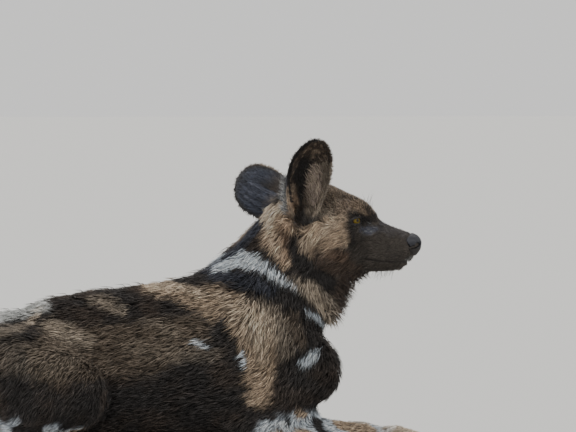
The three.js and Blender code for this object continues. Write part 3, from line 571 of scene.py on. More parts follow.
# Coat: how the hair lies, as short lines that it follows. h is in the head's frame, b in the chest's, and
# 2 is on both sides. Each has the coat piece, start, end and reach, then hair length, coat depth, tuft width,
# tufts per cm2 and rounds of evening
coatFlow = {
    "noseBridge": ("h", "coatFace", (202, 0, 344), (160, 0, 366), 20, 6.0, 0.9, 0.62, 74, 2),
    "muzzleSide": ("h2", "coatFace", (200, 17, 320), (150, 27, 326), 20, 6.5, 1.0, 0.62, 74, 2),
    "lipSide": ("h2", "coatFace", (196, 15, 308), (140, 31, 308), 12, 6.0, 1.0, 0.62, 74, 4),
    "chin": ("h", "coatFace", (190, 0, 296), (140, 0, 284), 16, 6.5, 1.2, 0.65, 66, 4),
    "underEye": ("h2", "coatFace", (150, 24, 345), (100, 40, 344), 16, 7.5, 1.4, 0.65, 68, 2),
    "brow": ("h2", "coatFace", (146, 12, 370), (96, 24, 402), 18, 10, 2.6, 0.7, 64, 3),
    "crown": ("h", "coatCrown", (104, 0, 408), (40, 0, 420), 26, 13, 3.6, 0.7, 56, 4),
    "templeSide": ("h2", "coatCrown", (96, 34, 382), (44, 50, 392), 18, 11, 2.6, 0.8, 48, 4),
    "earFront": ("h2", "coatCrown", (64, 52, 366), (46, 56, 402), 15, 13, 3.0, 0.85, 46, 4),
    "cheekUpper": ("h2", "coatCheek", (98, 44, 354), (48, 62, 328), 22, 14, 3.2, 0.75, 54, 4),
    "cheekLower": ("h2", "coatCheek", (114, 38, 326), (58, 62, 292), 22, 16, 3.8, 0.8, 48, 5),
    "jawUnder": ("h2", "coatCheek", (120, 18, 286), (80, 34, 268), 18, 10, 3.0, 0.9, 44, 8),
    "earFoot": ("h2", "coatCrown", (30, 60, 340), (26, 62, 372), 16, 13, 2.6, 0.85, 44, 3),
    "throatFront": ("h", "coatThroat", (104, 0, 280), (94, 0, 246), 24, 15, 3.0, 1.0, 36, 30),
    "throatLow": ("h", "coatThroat", (86, 0, 236), (66, 0, 200), 28, 16, 7.0, 1.1, 30, 60),
    "throatSide": ("h2", "coatThroat", (52, 54, 278), (72, 34, 236), 26, 19, 6.5, 1.1, 30, 50),
    "nape": ("b", "coatNeck", (0, 0, 396), (-92, 0, 326), 46, 22, 6.0, 1.4, 20, 26),
    "neckSide": ("b2", "coatNeck", (6, 68, 330), (-36, 84, 244), 44, 25, 6.5, 1.5, 20, 26),
    "neckLow": ("b2", "coatNeck", (30, 62, 262), (50, 52, 204), 34, 26, 7.0, 1.4, 22, 30),
    "withers": ("b", "coatBack", (-92, 0, 326), (-190, 0, 278), 50, 26, 7.5, 1.7, 16, 40),
    "back": ("b", "coatBack", (-190, 0, 278), (-440, 0, 226), 60, 24, 6.5, 1.7, 13, 60),
    "rump": ("b", "coatRump", (-440, 0, 226), (-585, 0, 178), 60, 24, 6.5, 1.7, 12, 50),
    "rumpEnd": ("b2", "coatRump", (-560, 50, 170), (-590, 50, 90), 40, 22, 6.0, 1.7, 11, 40),
    "flankHigh": ("b2", "coatFlank", (-150, 72, 240), (-430, 76, 170), 60, 25, 7.0, 1.8, 12, 60),
    "flankLow": ("b2", "coatFlank", (-110, 104, 136), (-330, 104, 80), 60, 24, 6.5, 1.8, 11.5, 60),
    "belly": ("b2", "coatFlank", (-70, 60, 30), (-420, 60, 22), 40, 16, 4.0, 1.9, 6, 40),
    "shoulderTop": ("b2", "coatShoulder", (-40, 66, 262), (-72, 90, 178), 46, 28, 8.0, 1.6, 19, 34),
    "shoulder": ("b2", "coatShoulder", (8, 84, 186), (-34, 104, 96), 46, 24, 6.5, 1.6, 19, 34),
    "chest": ("b", "coatShoulder", (66, 0, 176), (46, 0, 60), 50, 24, 4.5, 1.7, 16, 34),
    "upperArm": ("b2", "coatShoulder", (14, 92, 110), (-84, 104, 54), 34, 16, 4.5, 1.5, 18, 14),
    "forearm": ("b2", "coatLegs", (-84, 92, 36), (120, 82, 18), 34, 9, 2.2, 1.2, 26, 8),
    "forepaw": ("b2", "coatLegs", (120, 80, 18), (214, 80, 8), 30, 6, 1.2, 1.0, 34, 2),
    "thigh": ("b2", "coatLegs", (-390, 120, 168), (-460, 136, 84), 60, 18, 5.0, 1.6, 14, 30),
    "knee": ("b2", "coatLegs", (-350, 120, 110), (-400, 130, 50), 40, 14, 3.6, 1.5, 18, 16),
    "shank": ("b2", "coatLegs", (-430, 128, 50), (-560, 124, 34), 30, 11, 2.8, 1.3, 22, 10),
    "hindFoot": ("b2", "coatLegs", (-560, 130, 22), (-470, 132, 20), 26, 8, 1.8, 1.1, 26, 4),
    "hindPaw": ("b2", "coatLegs", (-470, 132, 18), (-400, 132, 8), 26, 6, 1.2, 1.0, 34, 2),
    "tailRoot": ("b", "coatTail", (-592, 0, 158), (-660, -4, 118), 36, 22, 6.0, 1.6, 20, 14),
    "tailMiddle": ("b", "coatTail", (-660, -4, 118), (-728, -38, 31), 36, 26, 6.0, 1.6, 22, 12),
    "tailBend": ("b", "coatTail", (-728, -38, 31), (-772, -124, 21), 30, 30, 1.5, 1.7, 20, 8),
    "tailTip": ("b", "coatTail", (-772, -124, 21), (-736, -222, 20), 30, 30, 1.5, 1.7, 20, 8),
}
flowValues = ("length", "depth", "width", "density", "evening")


def flowRows():
    rows = []
    for where, piece, start, end, reach, *values in coatFlow.values():
        for side in (1, -1) if where.endswith("2") else (1,):
            ends = np.array([start, end], float) * [1, side, 1]
            if where.startswith("h"):
                ends = fromHead(ends)
            rows.append((piece, ends[0], ends[1], reach, values))
    return rows


coatRows = flowRows()
pieceNames = sorted({row[0] for row in coatRows})


def coatAt(points):  # direction of the hair, its values and the piece it belongs to, at each point
    total = np.zeros(len(points))
    lie = np.zeros((len(points), 3))
    values = np.zeros((len(points), len(flowValues)))
    best = np.zeros(len(points))
    piece = np.zeros(len(points), int)
    for name, start, end, reach, rowValues in coatRows:
        distance, _ = segmentDistance(points, start, end)
        weight = (reach / (distance + 3)) ** 5
        total += weight
        lie += weight[:, None] * unit(end - start)
        values += weight[:, None] * np.array(rowValues, float)
        piece = np.where(weight > best, pieceNames.index(name), piece)
        best = np.maximum(best, weight)
    values /= total[:, None]
    return lie / total[:, None], dict(zip(flowValues, values.T)), piece


# Eyes: place and size from the solids
eyes = {
    "gaze": (0.62, 0.78, 0.05),
    "halfWide": 9.6,
    "upper": (3.9, 2.7),  # the lid's height over the middle, and how full its curve is
    "lower": (5.3, 1.8),
    "upperRise": 0.9,
    "leastAhead": 4,
    "droop": 0.13,
    "lidWall": 1.5,
    "corneaRise": 0.8,
}


def eyeFrame(side):
    low, high = (fromFrame(corner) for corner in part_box("eye_" + side))
    gaze = unit(fromHead(np.array(eyes["gaze"]) * [1, sideOf[side], 1]))
    up = unit(np.array([0, 0, 1]) - gaze * gaze[2])
    return (low + high) / 2, (high[2] - low[2]) / 2, gaze, up, np.cross(up, gaze)


def lidPlace(side, points):  # ahead of the eye, and how far out of the opening: 1 is its rim
    centre, _, gaze, up, across = eyeFrame(side)
    q = points - centre
    wide = q @ across
    lifted = q @ up + eyes["droop"] * wide * sideOf[side]
    lid, fullness = (np.where(lifted > 0, *pair) for pair in zip(eyes["upper"], eyes["lower"]))
    squared = np.abs(wide / eyes["halfWide"]) ** fullness + np.abs(lifted / lid) ** 2
    return q @ gaze, squared ** 0.5


def lidRim(side, share, gap, height):  # a point round the opening, at that height over the eyeball
    centre, radius, gaze, up, across = eyeFrame(side)
    c, s = math.cos(share * 2 * math.pi), math.sin(share * 2 * math.pi)
    lid, fullness = eyes["upper" if s > 0 else "lower"]
    wide = math.copysign(abs(c) ** (2 / fullness), c) * (eyes["halfWide"] + gap)
    high = s * (lid + gap) - eyes["droop"] * wide * sideOf[side]
    height += eyes["upperRise"] * max(s, 0)
    flat = math.hypot(wide, high)
    ahead = math.sqrt(max((radius + height) ** 2 - flat**2, eyes["leastAhead"]))
    return centre + wide * across + high * up + ahead * gaze


mouth = {
    "line": [(207, 303), (190, 301.5), (172, 300.5), (152, 301), (132, 304), (116, 308)],
    "grooveDepth": 1.7,
    "grooveWidth": 1.3,
    "lipRise": 0.6,
    "lipPlace": 3.4,
    "lipWidth": 2.0,
    "upperLip": 1.25,
    "lowerLip": 0.8,
    "corner": (108, 122),
}


def mouthDistance(points):  # in side view to the line of the mouth, with the height over it and the places
    q = toHead(points)
    flat = q[:, [0, 2]]
    best = np.full(len(points), 1e9)
    above = np.zeros(len(points))
    for (u0, z0), (u1, z1) in zip(mouth["line"], mouth["line"][1:]):
        distance, t = segmentDistance(flat, (u0, z0), (u1, z1))
        above = np.where(distance < best, flat[:, 1] - (z0 + (z1 - z0) * t), above)
        best = np.minimum(best, distance)
    return best, above, q


# Skin: all the flesh as one surface
skinSettings = {
    "voxel": 2.0,
    "triangles": 150000,
    "earRounds": 2,
    "earDepth": 0.6,
    "depthRounds": 8.0,
    "lastRounds": (0.25, 1, 8),  # share of the first rounds, least and most
    "floorGap": 0.4,
}
throatLine = {  # the throat reaches ahead as far as this at each height
    "z": (180, 198, 206, 222, 234, 250, 262),
    "ahead": (54, 52, 58, 66, 75, 89, 101),
    "halfWide": 60,
    "kept": 0.15,
    "around": 20,
    "rounds": 12.0,
}
# Where the skin stays fine: ahead by height of the head, and above the back
fineSkin = {"ahead": (40, 120), "tilt": 0.6, "level": 250, "high": (190, 240), "grades": 10, "factor": 6}
legNames = [f"{name}_{side}" for name in ("foreleg", "hindleg", "forepaw", "hindpaw") for side in sideOf]
fleshNames = ["head", "lower_jaw", "nose", "neck", "torso", *legNames, "tail_root", "tail_middle"]


def makeSkin():
    skin = mergedCopy([*fleshNames, "eye_right", "eye_left"], "skin")
    join([skin, earShell("right"), earShell("left"), brushCore()])
    oneSurface(skin, skinSettings["voxel"])
    print("skin surface", len(skin.data.vertices))

    # Even it out, and sink it by the depth of the coat
    points = fromFrame(getPoints(skin))
    edges = getEdges(skin)
    _, values, _ = coatAt(points)
    onEar = onAnEar(points, getNormals(skin))
    rounds = np.where(onEar, skinSettings["earRounds"], values["evening"])
    depth = np.where(onEar, skinSettings["earDepth"], values["depth"])
    points = relax(points, edges, rounds)
    q = toHead(points)
    limit = np.interp(q[:, 2], throatLine["z"], throatLine["ahead"])
    inRuff = (q[:, 2] > throatLine["z"][0]) & (q[:, 2] < throatLine["z"][-1])
    inRuff &= np.abs(q[:, 1]) < throatLine["halfWide"]
    held = limit + throatLine["kept"] * (q[:, 0] - limit)
    q[:, 0] = np.where(inRuff & (q[:, 0] > limit), held, q[:, 0])
    near = inRuff & (q[:, 0] > limit - throatLine["around"])
    points = relax(fromHead(q), edges, np.where(near, throatLine["rounds"], 0.0))
    setPoints(skin, toFrame(points))
    depthRounds = np.full(len(points), skinSettings["depthRounds"])
    depth = relax(np.repeat(depth[:, None], 3, 1), edges, depthRounds)[:, 0]
    points = points - getNormals(skin) * depth[:, None]
    share, least, most = skinSettings["lastRounds"]
    points = relax(points, edges, np.clip(rounds * share, least, most))
    points[:, 2] = np.maximum(points[:, 2], skinSettings["floorGap"])
    setPoints(skin, toFrame(points))

    # Fewer triangles on the body, where the coat covers it
    group = skin.vertex_groups.new(name="coarse")
    ahead = toHead(points)[:, 0] + fineSkin["tilt"] * (points[:, 2] - fineSkin["level"])
    fine = smooth(*fineSkin["ahead"], ahead) * smooth(*fineSkin["high"], points[:, 2])
    coarse = 1 - np.clip(np.maximum(fine, onEar), 0, 1)
    grades = fineSkin["grades"]
    for level in range(grades + 1):
        picked = np.nonzero(np.round(coarse * grades) == level)[0]
        group.add(picked.tolist(), level / grades, "REPLACE")
    decimate = skin.modifiers.new("fewer", "DECIMATE")
    decimate.ratio = skinSettings["triangles"] / (2 * len(skin.data.polygons))
    decimate.vertex_group = "coarse"
    decimate.vertex_group_factor = fineSkin["factor"]
    applyAll(skin)
    skin.vertex_groups.clear()
    return skin


def refine(piece, wanted):  # splits the edges whose ends are both wanted
    picked = wanted(fromFrame(getPoints(piece)))
    work = bmesh.new()
    work.from_mesh(piece.data)
    work.verts.ensure_lookup_table()
    edges = [e for e in work.edges if picked[e.verts[0].index] and picked[e.verts[1].index]]
    bmesh.ops.subdivide_edges(work, edges=edges, cuts=1, use_grid_fill=True, smooth=0.6)
    bmesh.ops.triangulate(work, faces=work.faces[:])
    work.to_mesh(piece.data)
    work.free()


# The skin by the eyes: finer within these reaches, then lifted to the lids and let back into the face
lidShape = {
    "fineReach": (24, 19),
    "reach": 30,
    "ahead": 2,
    "opening": 1.03,
    "sunk": 2.6,
    "blend": (1.35, 2.3),
    "swell": (1.6, 1.1, 1.9),
    "fall": (0.9, 1.5, 1.9),
}
mouthReach = 5  # the skin is finer within this distance of the mouth


def shapeFace(skin):
    eyeCentres = [eyeFrame(side)[0] for side in sideOf]

    def nearEye(reach):
        return lambda p: np.min([np.linalg.norm(p - centre, axis=1) for centre in eyeCentres], 0) < reach

    def nearMouth(p):
        distance, _, q = mouthDistance(p)
        return (distance < mouthReach) & (q[:, 0] > mouth["corner"][0])

    refine(skin, nearEye(lidShape["fineReach"][0]))
    refine(skin, nearMouth)
    refine(skin, nearEye(lidShape["fineReach"][1]))
    points = fromFrame(getPoints(skin))
    for side in sideOf:
        centre, radius, *_ = eyeFrame(side)
        ahead, out = lidPlace(side, points)
        distance = np.linalg.norm(points - centre, axis=1)
        near = (ahead > lidShape["ahead"]) & (distance < lidShape["reach"])
        blend = 1 - smooth(*lidShape["blend"], out)
        swell, *swellFrom = lidShape["swell"]
        fall, *fallFrom = lidShape["fall"]
        held = radius + eyes["lidWall"] + swell * smooth(*swellFrom, out) - fall * smooth(*fallFrom, out)
        inOpening = out < lidShape["opening"]
        target = np.where(inOpening, radius - lidShape["sunk"], distance + (held - distance) * blend)
        moved = centre + (points - centre) * (target / np.maximum(distance, 1e-6))[:, None]
        points = np.where((near & (blend > 0))[:, None], moved, points)
    setPoints(skin, toFrame(points))
    distance, above, q = mouthDistance(points)
    fade = smooth(*mouth["corner"], q[:, 0])
    groove = np.exp(-((distance / mouth["grooveWidth"]) ** 2)) * mouth["grooveDepth"]
    lip = np.exp(-(((distance - mouth["lipPlace"]) / mouth["lipWidth"]) ** 2)) * mouth["lipRise"]
    lip *= np.where(above > 0, mouth["upperLip"], mouth["lowerLip"])
    points = points + getNormals(skin) * ((lip - groove) * fade)[:, None]
    setPoints(skin, toFrame(points))


skin = makeSkin()
shapeFace(skin)
only(skin)
bpy.ops.object.shade_smooth()
print("skin shaped", len(skin.data.polygons), "faces")

# Colours, in linear values
tone = {
    "black": (0.026, 0.023, 0.022),
    # black hair with a painted bluish sheen, on the body and on the ears' backs
    "blueBlack": (0.040, 0.044, 0.059),
    "earBlue": (0.046, 0.053, 0.078),
    "charcoal": (0.074, 0.063, 0.054),
    "blueGrey": (0.105, 0.112, 0.145),
    "umber": (0.058, 0.043, 0.034),
    "brown": (0.128, 0.100, 0.074),
    "warmDark": (0.085, 0.062, 0.048),
    "rust": (0.26, 0.165, 0.11),
    "tan": (0.37, 0.285, 0.205),
    "buff": (0.44, 0.335, 0.24),
    "greyTan": (0.28, 0.235, 0.185),
    "cream": (0.60, 0.50, 0.39),
    "white": (0.60, 0.66, 0.72),
    "pink": (0.42, 0.33, 0.29),
    "paleGrey": (0.46, 0.47, 0.46),
}
tone = {name: np.array(colour) for name, colour in tone.items()}
# Patches as strokes: colour, strength, edge softness, then points with a radius, all in the pixels of the
# 576 x 432 photo
pictureScale = 1.6  # mm at the dog for one pixel
pictureAxis = (288, 449)  # the pixel column of the chest and the pixel row of the floor
bodyPatches = [
    ("brown", 0.8, 14, (60, 352, 26), (150, 345, 24), (190, 330, 18)),
    ("greyTan", 0.35, 12, (20, 352, 16), (70, 356, 14)),
    ("greyTan", 0.35, 9, (134, 344, 6), (176, 350, 9), (214, 352, 7)),
    ("greyTan", 0.95, 8, (54, 325, 8), (72, 330, 9), (92, 338, 7)),
    ("greyTan", 0.85, 6, (92, 297, 3.5), (106, 302, 5.5), (124, 310, 5)),
    ("paleGrey", 0.85, 6, (4, 317, 5), (26, 310, 6), (50, 305, 4.5)),
    ("cream", 0.6, 6, (44, 310, 3.5), (34, 321, 3)),
    ("greyTan", 0.6, 6, (2, 330, 5), (26, 326, 4)),
    ("tan", 0.85, 8, (150, 287, 3.5), (174, 290, 8), (198, 298, 10), (212, 310, 9)),
    ("cream", 0.5, 6, (152, 286, 2.5), (176, 287, 4), (204, 292, 4)),
    ("greyTan", 0.4, 8, (150, 318, 5), (178, 330, 6)),
    ("tan", 0.9, 10, (212, 292, 7), (234, 304, 14), (252, 326, 20), (260, 354, 17), (258, 392, 12)),
    ("cream", 0.5, 9, (222, 294, 4), (240, 310, 8), (254, 332, 10), (262, 354, 7)),
    ("greyTan", 0.6, 9, (266, 302, 9), (280, 326, 10), (286, 350, 7)),
    ("cream", 0.5, 9, (244, 300, 7), (258, 314, 11), (266, 334, 9)),
    (
        "black", 0.95, 7,
        (178, 277, 7), (216, 273, 9), (250, 280, 10), (278, 292, 11), (302, 312, 10), (318, 344, 10),
    ),
    # black with a painted bluish sheen along the top of the black band
    ("blueBlack", 0.8, 7, (214, 273, 6), (250, 280, 8), (272, 290, 7)),
    ("brown", 0.6, 6, (290, 318, 6), (300, 340, 6)),
    ("greyTan", 0.5, 4, (322, 330, 3), (330, 344, 3)),
    ("white", 0.8, 3, (196, 339, 2.6), (205, 344, 2.6)),
    ("white", 0.7, 3, (240, 354, 2.5), (244, 364, 3.5)),
    ("white", 0.75, 3.5, (303, 360, 4.5), (310, 355, 5), (316, 348, 3)),
    # black with a painted bluish sheen on the nape
    ("blueBlack", 0.95, 6, (260, 224, 7), (244, 236, 12), (226, 252, 14), (210, 264, 9)),
    ("paleGrey", 0.5, 4, (262, 212, 2), (248, 222, 2.2), (236, 232, 1.6)),
    ("buff", 0.9, 6, (286, 208, 8), (276, 220, 9), (272, 236, 9.5), (277, 250, 8.5), (286, 264, 6)),
    ("buff", 0.85, 5, (286, 222, 6), (293, 229, 4)),
    ("rust", 0.4, 6, (288, 224, 5), (281, 242, 7), (286, 260, 4)),
    ("cream", 0.9, 6, (282, 206, 4), (270, 215, 6.5), (268, 228, 4)),
    ("cream", 0.35, 6, (272, 236, 6), (276, 250, 6)),
    (
        "white", 0.95, 3,
        (216, 270, 1.5), (230, 265, 4), (244, 259, 7.5), (256, 263, 7), (269, 271, 5), (284, 281, 3),
        (299, 292, 2),
    ),
    ("greyTan", 0.9, 7, (292, 280, 4), (308, 290, 10), (323, 305, 12.5), (331, 318, 9)),
    ("cream", 0.45, 6, (298, 284, 3), (314, 298, 5), (326, 314, 4)),
    ("warmDark", 0.85, 7, (336, 286, 9), (348, 296, 9), (342, 312, 6)),
    ("black", 0.85, 2, (284, 286, 1.2), (304, 300, 1.8), (313, 312, 1.8), (325, 327, 1.2)),
    ("white", 0.75, 3, (304, 313, 2.4), (313, 318, 3.6), (323, 326, 2.4)),
]
cheekBand = [
    (
        "black", 0.97, 4.5,
        (296, 235, 2), (293.5, 241, 4), (293.5, 249, 4.5), (298, 261, 6.5), (310, 270, 8), (328, 283, 8),
    ),
]
headPatches = [
    ("warmDark", 0.9, 7, (312, 262, 8), (340, 264, 12), (352, 270, 8), (340, 290, 9)),
    ("brown", 0.9, 6, (310, 196, 12), (330, 192, 10), (346, 202, 8), (358, 206, 4)),
    ("greyTan", 0.5, 6, (334, 198, 6), (346, 203, 6), (356, 206, 3)),
    (
        "buff", 0.85, 7,
        (303, 245, 6), (309, 246, 8), (318, 236, 11), (332, 226, 12), (337, 237, 9.5), (324, 248, 7),
    ),
    ("cream", 0.45, 5, (302, 246, 4), (312, 240, 6), (330, 226, 6), (340, 216, 4)),
    ("buff", 0.85, 5, (297, 231, 4), (306, 231, 5), (316, 230, 6)),
    ("greyTan", 0.9, 5, (322, 212, 5), (334, 206, 8), (346, 205, 6)),
    ("pink", 0.5, 6, (338, 210, 5), (344, 206, 6)),
    ("tan", 0.6, 6, (340, 208, 6), (341, 222, 6), (346, 240, 5)),
    ("warmDark", 0.75, 7, (318, 254, 4), (338, 254, 7), (350, 257, 6)),
    ("rust", 0.3, 6, (326, 253, 4), (344, 256, 5)),
    ("brown", 0.5, 6, (306, 202, 6), (318, 208, 5)),
    ("buff", 0.65, 4, (350, 203, 3.5), (361, 208, 4), (368, 213, 3)),
    ("charcoal", 0.95, 6, (366, 234, 12), (358, 254, 9)),
    ("black", 0.85, 5, (347, 222, 3.5), (350, 232, 4.5), (352, 243, 3), (348, 226, 3)),
    ("black", 0.92, 4, (351, 217, 3), (360, 215, 3.5), (367, 219, 3.5), (372, 225, 2.5)),
    ("black", 0.95, 3, (352, 222, 3.5), (362, 222, 3.5)),
    ("blueGrey", 0.85, 5, (362, 231, 3), (369, 233, 4.5), (377, 231, 4)),
    ("blueGrey", 0.2, 6, (382, 230, 4), (402, 236, 4)),
    # a small pale spot on the lip's edge: pale lip hair with a painted highlight on it
    ("paleGrey", 0.45, 2.5, (404, 259.5, 0.8), (409, 257.5, 1)),
    # black with a painted bluish sheen on the muzzle's top
    ("blueBlack", 0.6, 4, (384, 223, 2.5), (396, 228, 2.5), (408, 233, 2.5)),
    ("black", 0.75, 3, (342, 195, 0.8), (358, 201, 1.5), (368, 209, 2), (377, 221, 2.5)),
]
# Round the near ear's foot, over both the ear and the head
earFootPatches = [
    ("brown", 0.85, 6, (304, 206, 6), (312, 209, 7), (321, 205, 6)),
    ("greyTan", 0.6, 5, (307, 208, 4), (318, 206, 5), (328, 192, 4)),
    ("greyTan", 0.75, 5, (314, 213, 4), (324, 212, 5), (330, 214, 4)),
    ("umber", 0.5, 5, (286, 216, 3), (294, 220, 3)),
    ("tan", 0.85, 5, (292, 190, 4), (292, 203, 6), (294, 212, 4)),
    ("rust", 0.5, 4, (295, 197, 3), (293, 208, 4)),
    ("black", 0.85, 3, (301, 184, 1.6), (301, 204, 1.2), (303, 216, 2)),
    # painted shade: black where the ear's opening lies in shade at its foot
    ("black", 0.95, 3, (296, 218, 1.5), (304, 222.5, 3.5), (311, 222, 2.5)),
]
stockings = {  # segments of the lower legs, and how far round them the pale patches reach
    "segments": [
        ((-70, 96, 26), (120, 82, 18)), ((120, 80, 18), (214, 80, 8)), ((-566, 130, 20), (-400, 132, 10)),
    ],
    "reach": 34,
    "soft": 16,
    "wobble": 10,
}
warp = {"size": (46, 15, 6), "reach": (4.5, 3.0, 1.8), "seed": 5, "edge": 0.35}
mirror = {"shift": (26, 0, -10), "ahead": 34, "up": 26}  # how the left side's markings differ
# Noise by its size in mm and its seed
noises = {
    "jitter": (4.5, 77),
    "mottle": (34, 91),
    "fineMottle": (13, 92),
    "mirrorAhead": (90, 301),
    "mirrorUp": (90, 302),
    "blotch": (38, 401),
    "fineBlotch": (17, 402),
    "grizzle": (3.2, 61),
    "fleck": (2.4, 65),
    "earStain": (5, 503),
    "earPatch": (9, 501),
    "earStreak": (4.5, 502),
    "clump": (16, 31),
    "length": (22, 33),
    "streak": (7, 35),
}
# Markings that aren't strokes: where each starts, where it is full, and how strong it is
markings = {
    "umber": (-0.5, 0.9, 0.8),
    "leftSide": (6, 30, 1),
    "legTan": (-0.1, -0.3, 1),
    "legSpot": (0.28, 0.42, 1),
    "paw": (110, 150, 0.8),
    "tailStart": (-560, -600, 1),
    "brushLow": (52, 34, 1),
    "brushBehind": (-690, -715, 1),
    "brushAside": (-40, -70, 1),
    "ridgeFade": (122, 96, 0.72),
    "ridgeStart": (30, 70, 1),
    "ridgeEnd": (168, 140, 1),
    "ridgeHigh": (350, 372, 1),
    "grizzle": (0.15, 0.7, 0.55),
    "grizzleHigh": (372, 388, 1),
    "grizzleEnd": (150, 130, 1),
    "fleck": (0.2, 0.6, 0.4),
    "fleckReach": (13, 4, 1),
    "headLine": (214, 224, 1),
    "headStart": (8, 20, 1),
    "lip": (108, 120, 0.5),
    "earStart": (0.06, 0.16, 1),
    "earFrontStart": (0.25, 0.55, 1),
    "earFoot": (0.62, 0.4, 1),
    "outsideMiddle": (0.8, 0.15, 0.75),
    "outsideHigh": (0.95, 0.6, 1),
    "outsideStreak": (-0.2, 0.6, 1),
    "outsideFoot": (0.3, 0.1, 0.3),
    "outsideRim": (0.7, 0.95, 0.85),
    "rearStain": (0.0, 0.6, 0.6),
    "paleStreak": (-0.6, 0.5, 1),
    "band": (-0.6, -0.36, 1),
    "bandHigh": (0.86, 0.7, 1),
    "paleHair": (0.08, 0.3, 1),
    "paleHigh": (0.72, 0.5, 1),
    "frontEdge": (0.5, 0.7, 0.9),
    "frontHigh": (0.85, 0.65, 1),
    "tip": (0.62, 0.82, 0.8),
    "redFoot": (0.42, 0.22, 0.8),
    "redBehind": (0.0, -0.3, 1),
    "insideRim": (0.82, 0.98, 1),
}
tailMarks = {"slope": 0.35, "tanDrop": 70}  # the root is tan down to this drop, measured aslant
ridge = {"half": 5.5, "strength": 0.95, "wideHalf": 20}  # dark line on the crown
fleckPlace = (371, 232, 1.3)  # under the eye in the photo, and how much flatter than round
headTilt = (0.76, 0.65)  # the head's line from the neck leans by these shares of ahead and up
lipWidth = 2.0
earStreaks = {"stretch": (52, 20), "patch": 0.16, "contrast": 0.6, "rimHigh": 0.96, "frontFrom": 0.2}
rimShare = (0.15, 0.5)  # of the inside's rim, in front and behind
footLimit = -20  # the strokes at the near ear's foot lie to the right of this


def mix(first, second, share):  # from one colour to the other, with a share for each point
    share = np.asarray(share)[:, None]
    return first * (1 - share) + second * share


def marked(label, value):
    low, high, strength = markings[label]
    return strength * smooth(low, high, value)


def noiseOf(label, points):
    return latticeNoise(points, *noises[label])


def strokes(colour, picture, patches, jitter):
    for name, strength, softness, *stops in patches:
        best = np.full(len(picture), 1e9)
        for (x0, y0, r0), (x1, y1, r1) in zip(stops, stops[1:]):
            distance, t = segmentDistance(picture, (x0, y0), (x1, y1))
            best = np.minimum(best, distance - (r0 + (r1 - r0) * t))
        mask = 1 - smooth(-0.5 * softness, 0.5 * softness, best + jitter * softness * warp["edge"])
        colour = mix(colour, tone[name], mask * strength)
    return colour


def warped(points, seed):
    q = np.array(points, float)
    for k, (size, reach) in enumerate(zip(warp["size"], warp["reach"])):
        for axis in range(3):
            q[:, axis] += reach * latticeNoise(points, size, seed + 10 * k + axis)
    return q


def toPicture(points):  # where the photo shows a point of the right side
    q = toHead(points)
    return np.stack([pictureAxis[0] + q[:, 0] / pictureScale, pictureAxis[1] - q[:, 2] / pictureScale], 1)


def addLegs(body, points):  # white and tan stockings with dark spots
    even = points * [1, 0, 1] + np.abs(points) * [0, 1, 0]
    far = np.min([segmentDistance(even, a, b)[0] for a, b in stockings["segments"]], 0)
    blotch = noiseOf("blotch", points) + 0.6 * noiseOf("fineBlotch", points)
    reach = stockings["reach"]
    onLeg = smooth(reach + stockings["soft"], reach, far + stockings["wobble"] * blotch)
    colour = mix(tone["white"], tone["tan"], marked("legTan", blotch))
    colour = mix(colour, tone["black"], marked("legSpot", blotch))
    return mix(mix(body, colour, onLeg), tone["cream"], marked("paw", points[:, 0]) * onLeg)


def addTail(body, points):  # tan at its root, then black, then a white brush
    x, y, z = points.T
    behind = marked("tailStart", x)
    rootX, _, rootZ = tail["path"][0]
    drop = tailMarks["slope"] * (rootX - x) + rootZ - z
    colour = np.where((drop < tailMarks["tanDrop"])[:, None], tone["tan"], tone["black"])
    white = marked("brushLow", z) * marked("brushBehind", x)
    white = np.maximum(white, marked("brushAside", y) * behind)
    return mix(body, mix(colour, tone["white"], white), behind)


def headColour(points, h, picture, jitter):  # the same on both sides
    ahead, aside, up = h.T
    head = strokes(tone["charcoal"], picture, headPatches, jitter)
    narrow = ridge["strength"] * np.exp(-((aside / ridge["half"]) ** 2))
    wide = marked("ridgeFade", ahead) * np.exp(-((aside / ridge["wideHalf"]) ** 2))
    ends = marked("ridgeStart", ahead) * marked("ridgeEnd", ahead) * marked("ridgeHigh", up)
    head = mix(head, tone["black"], np.maximum(narrow, wide) * ends)
    grizzle = marked("grizzle", noiseOf("grizzle", points)) * marked("grizzleHigh", up)
    head = mix(head, tone["umber"], grizzle * marked("grizzleEnd", ahead))
    column, row, flat = fleckPlace
    far = np.hypot(picture[:, 0] - column, (picture[:, 1] - row) * flat)
    return mix(head, tone["paleGrey"], marked("fleck", noiseOf("fleck", points)) * marked("fleckReach", far))


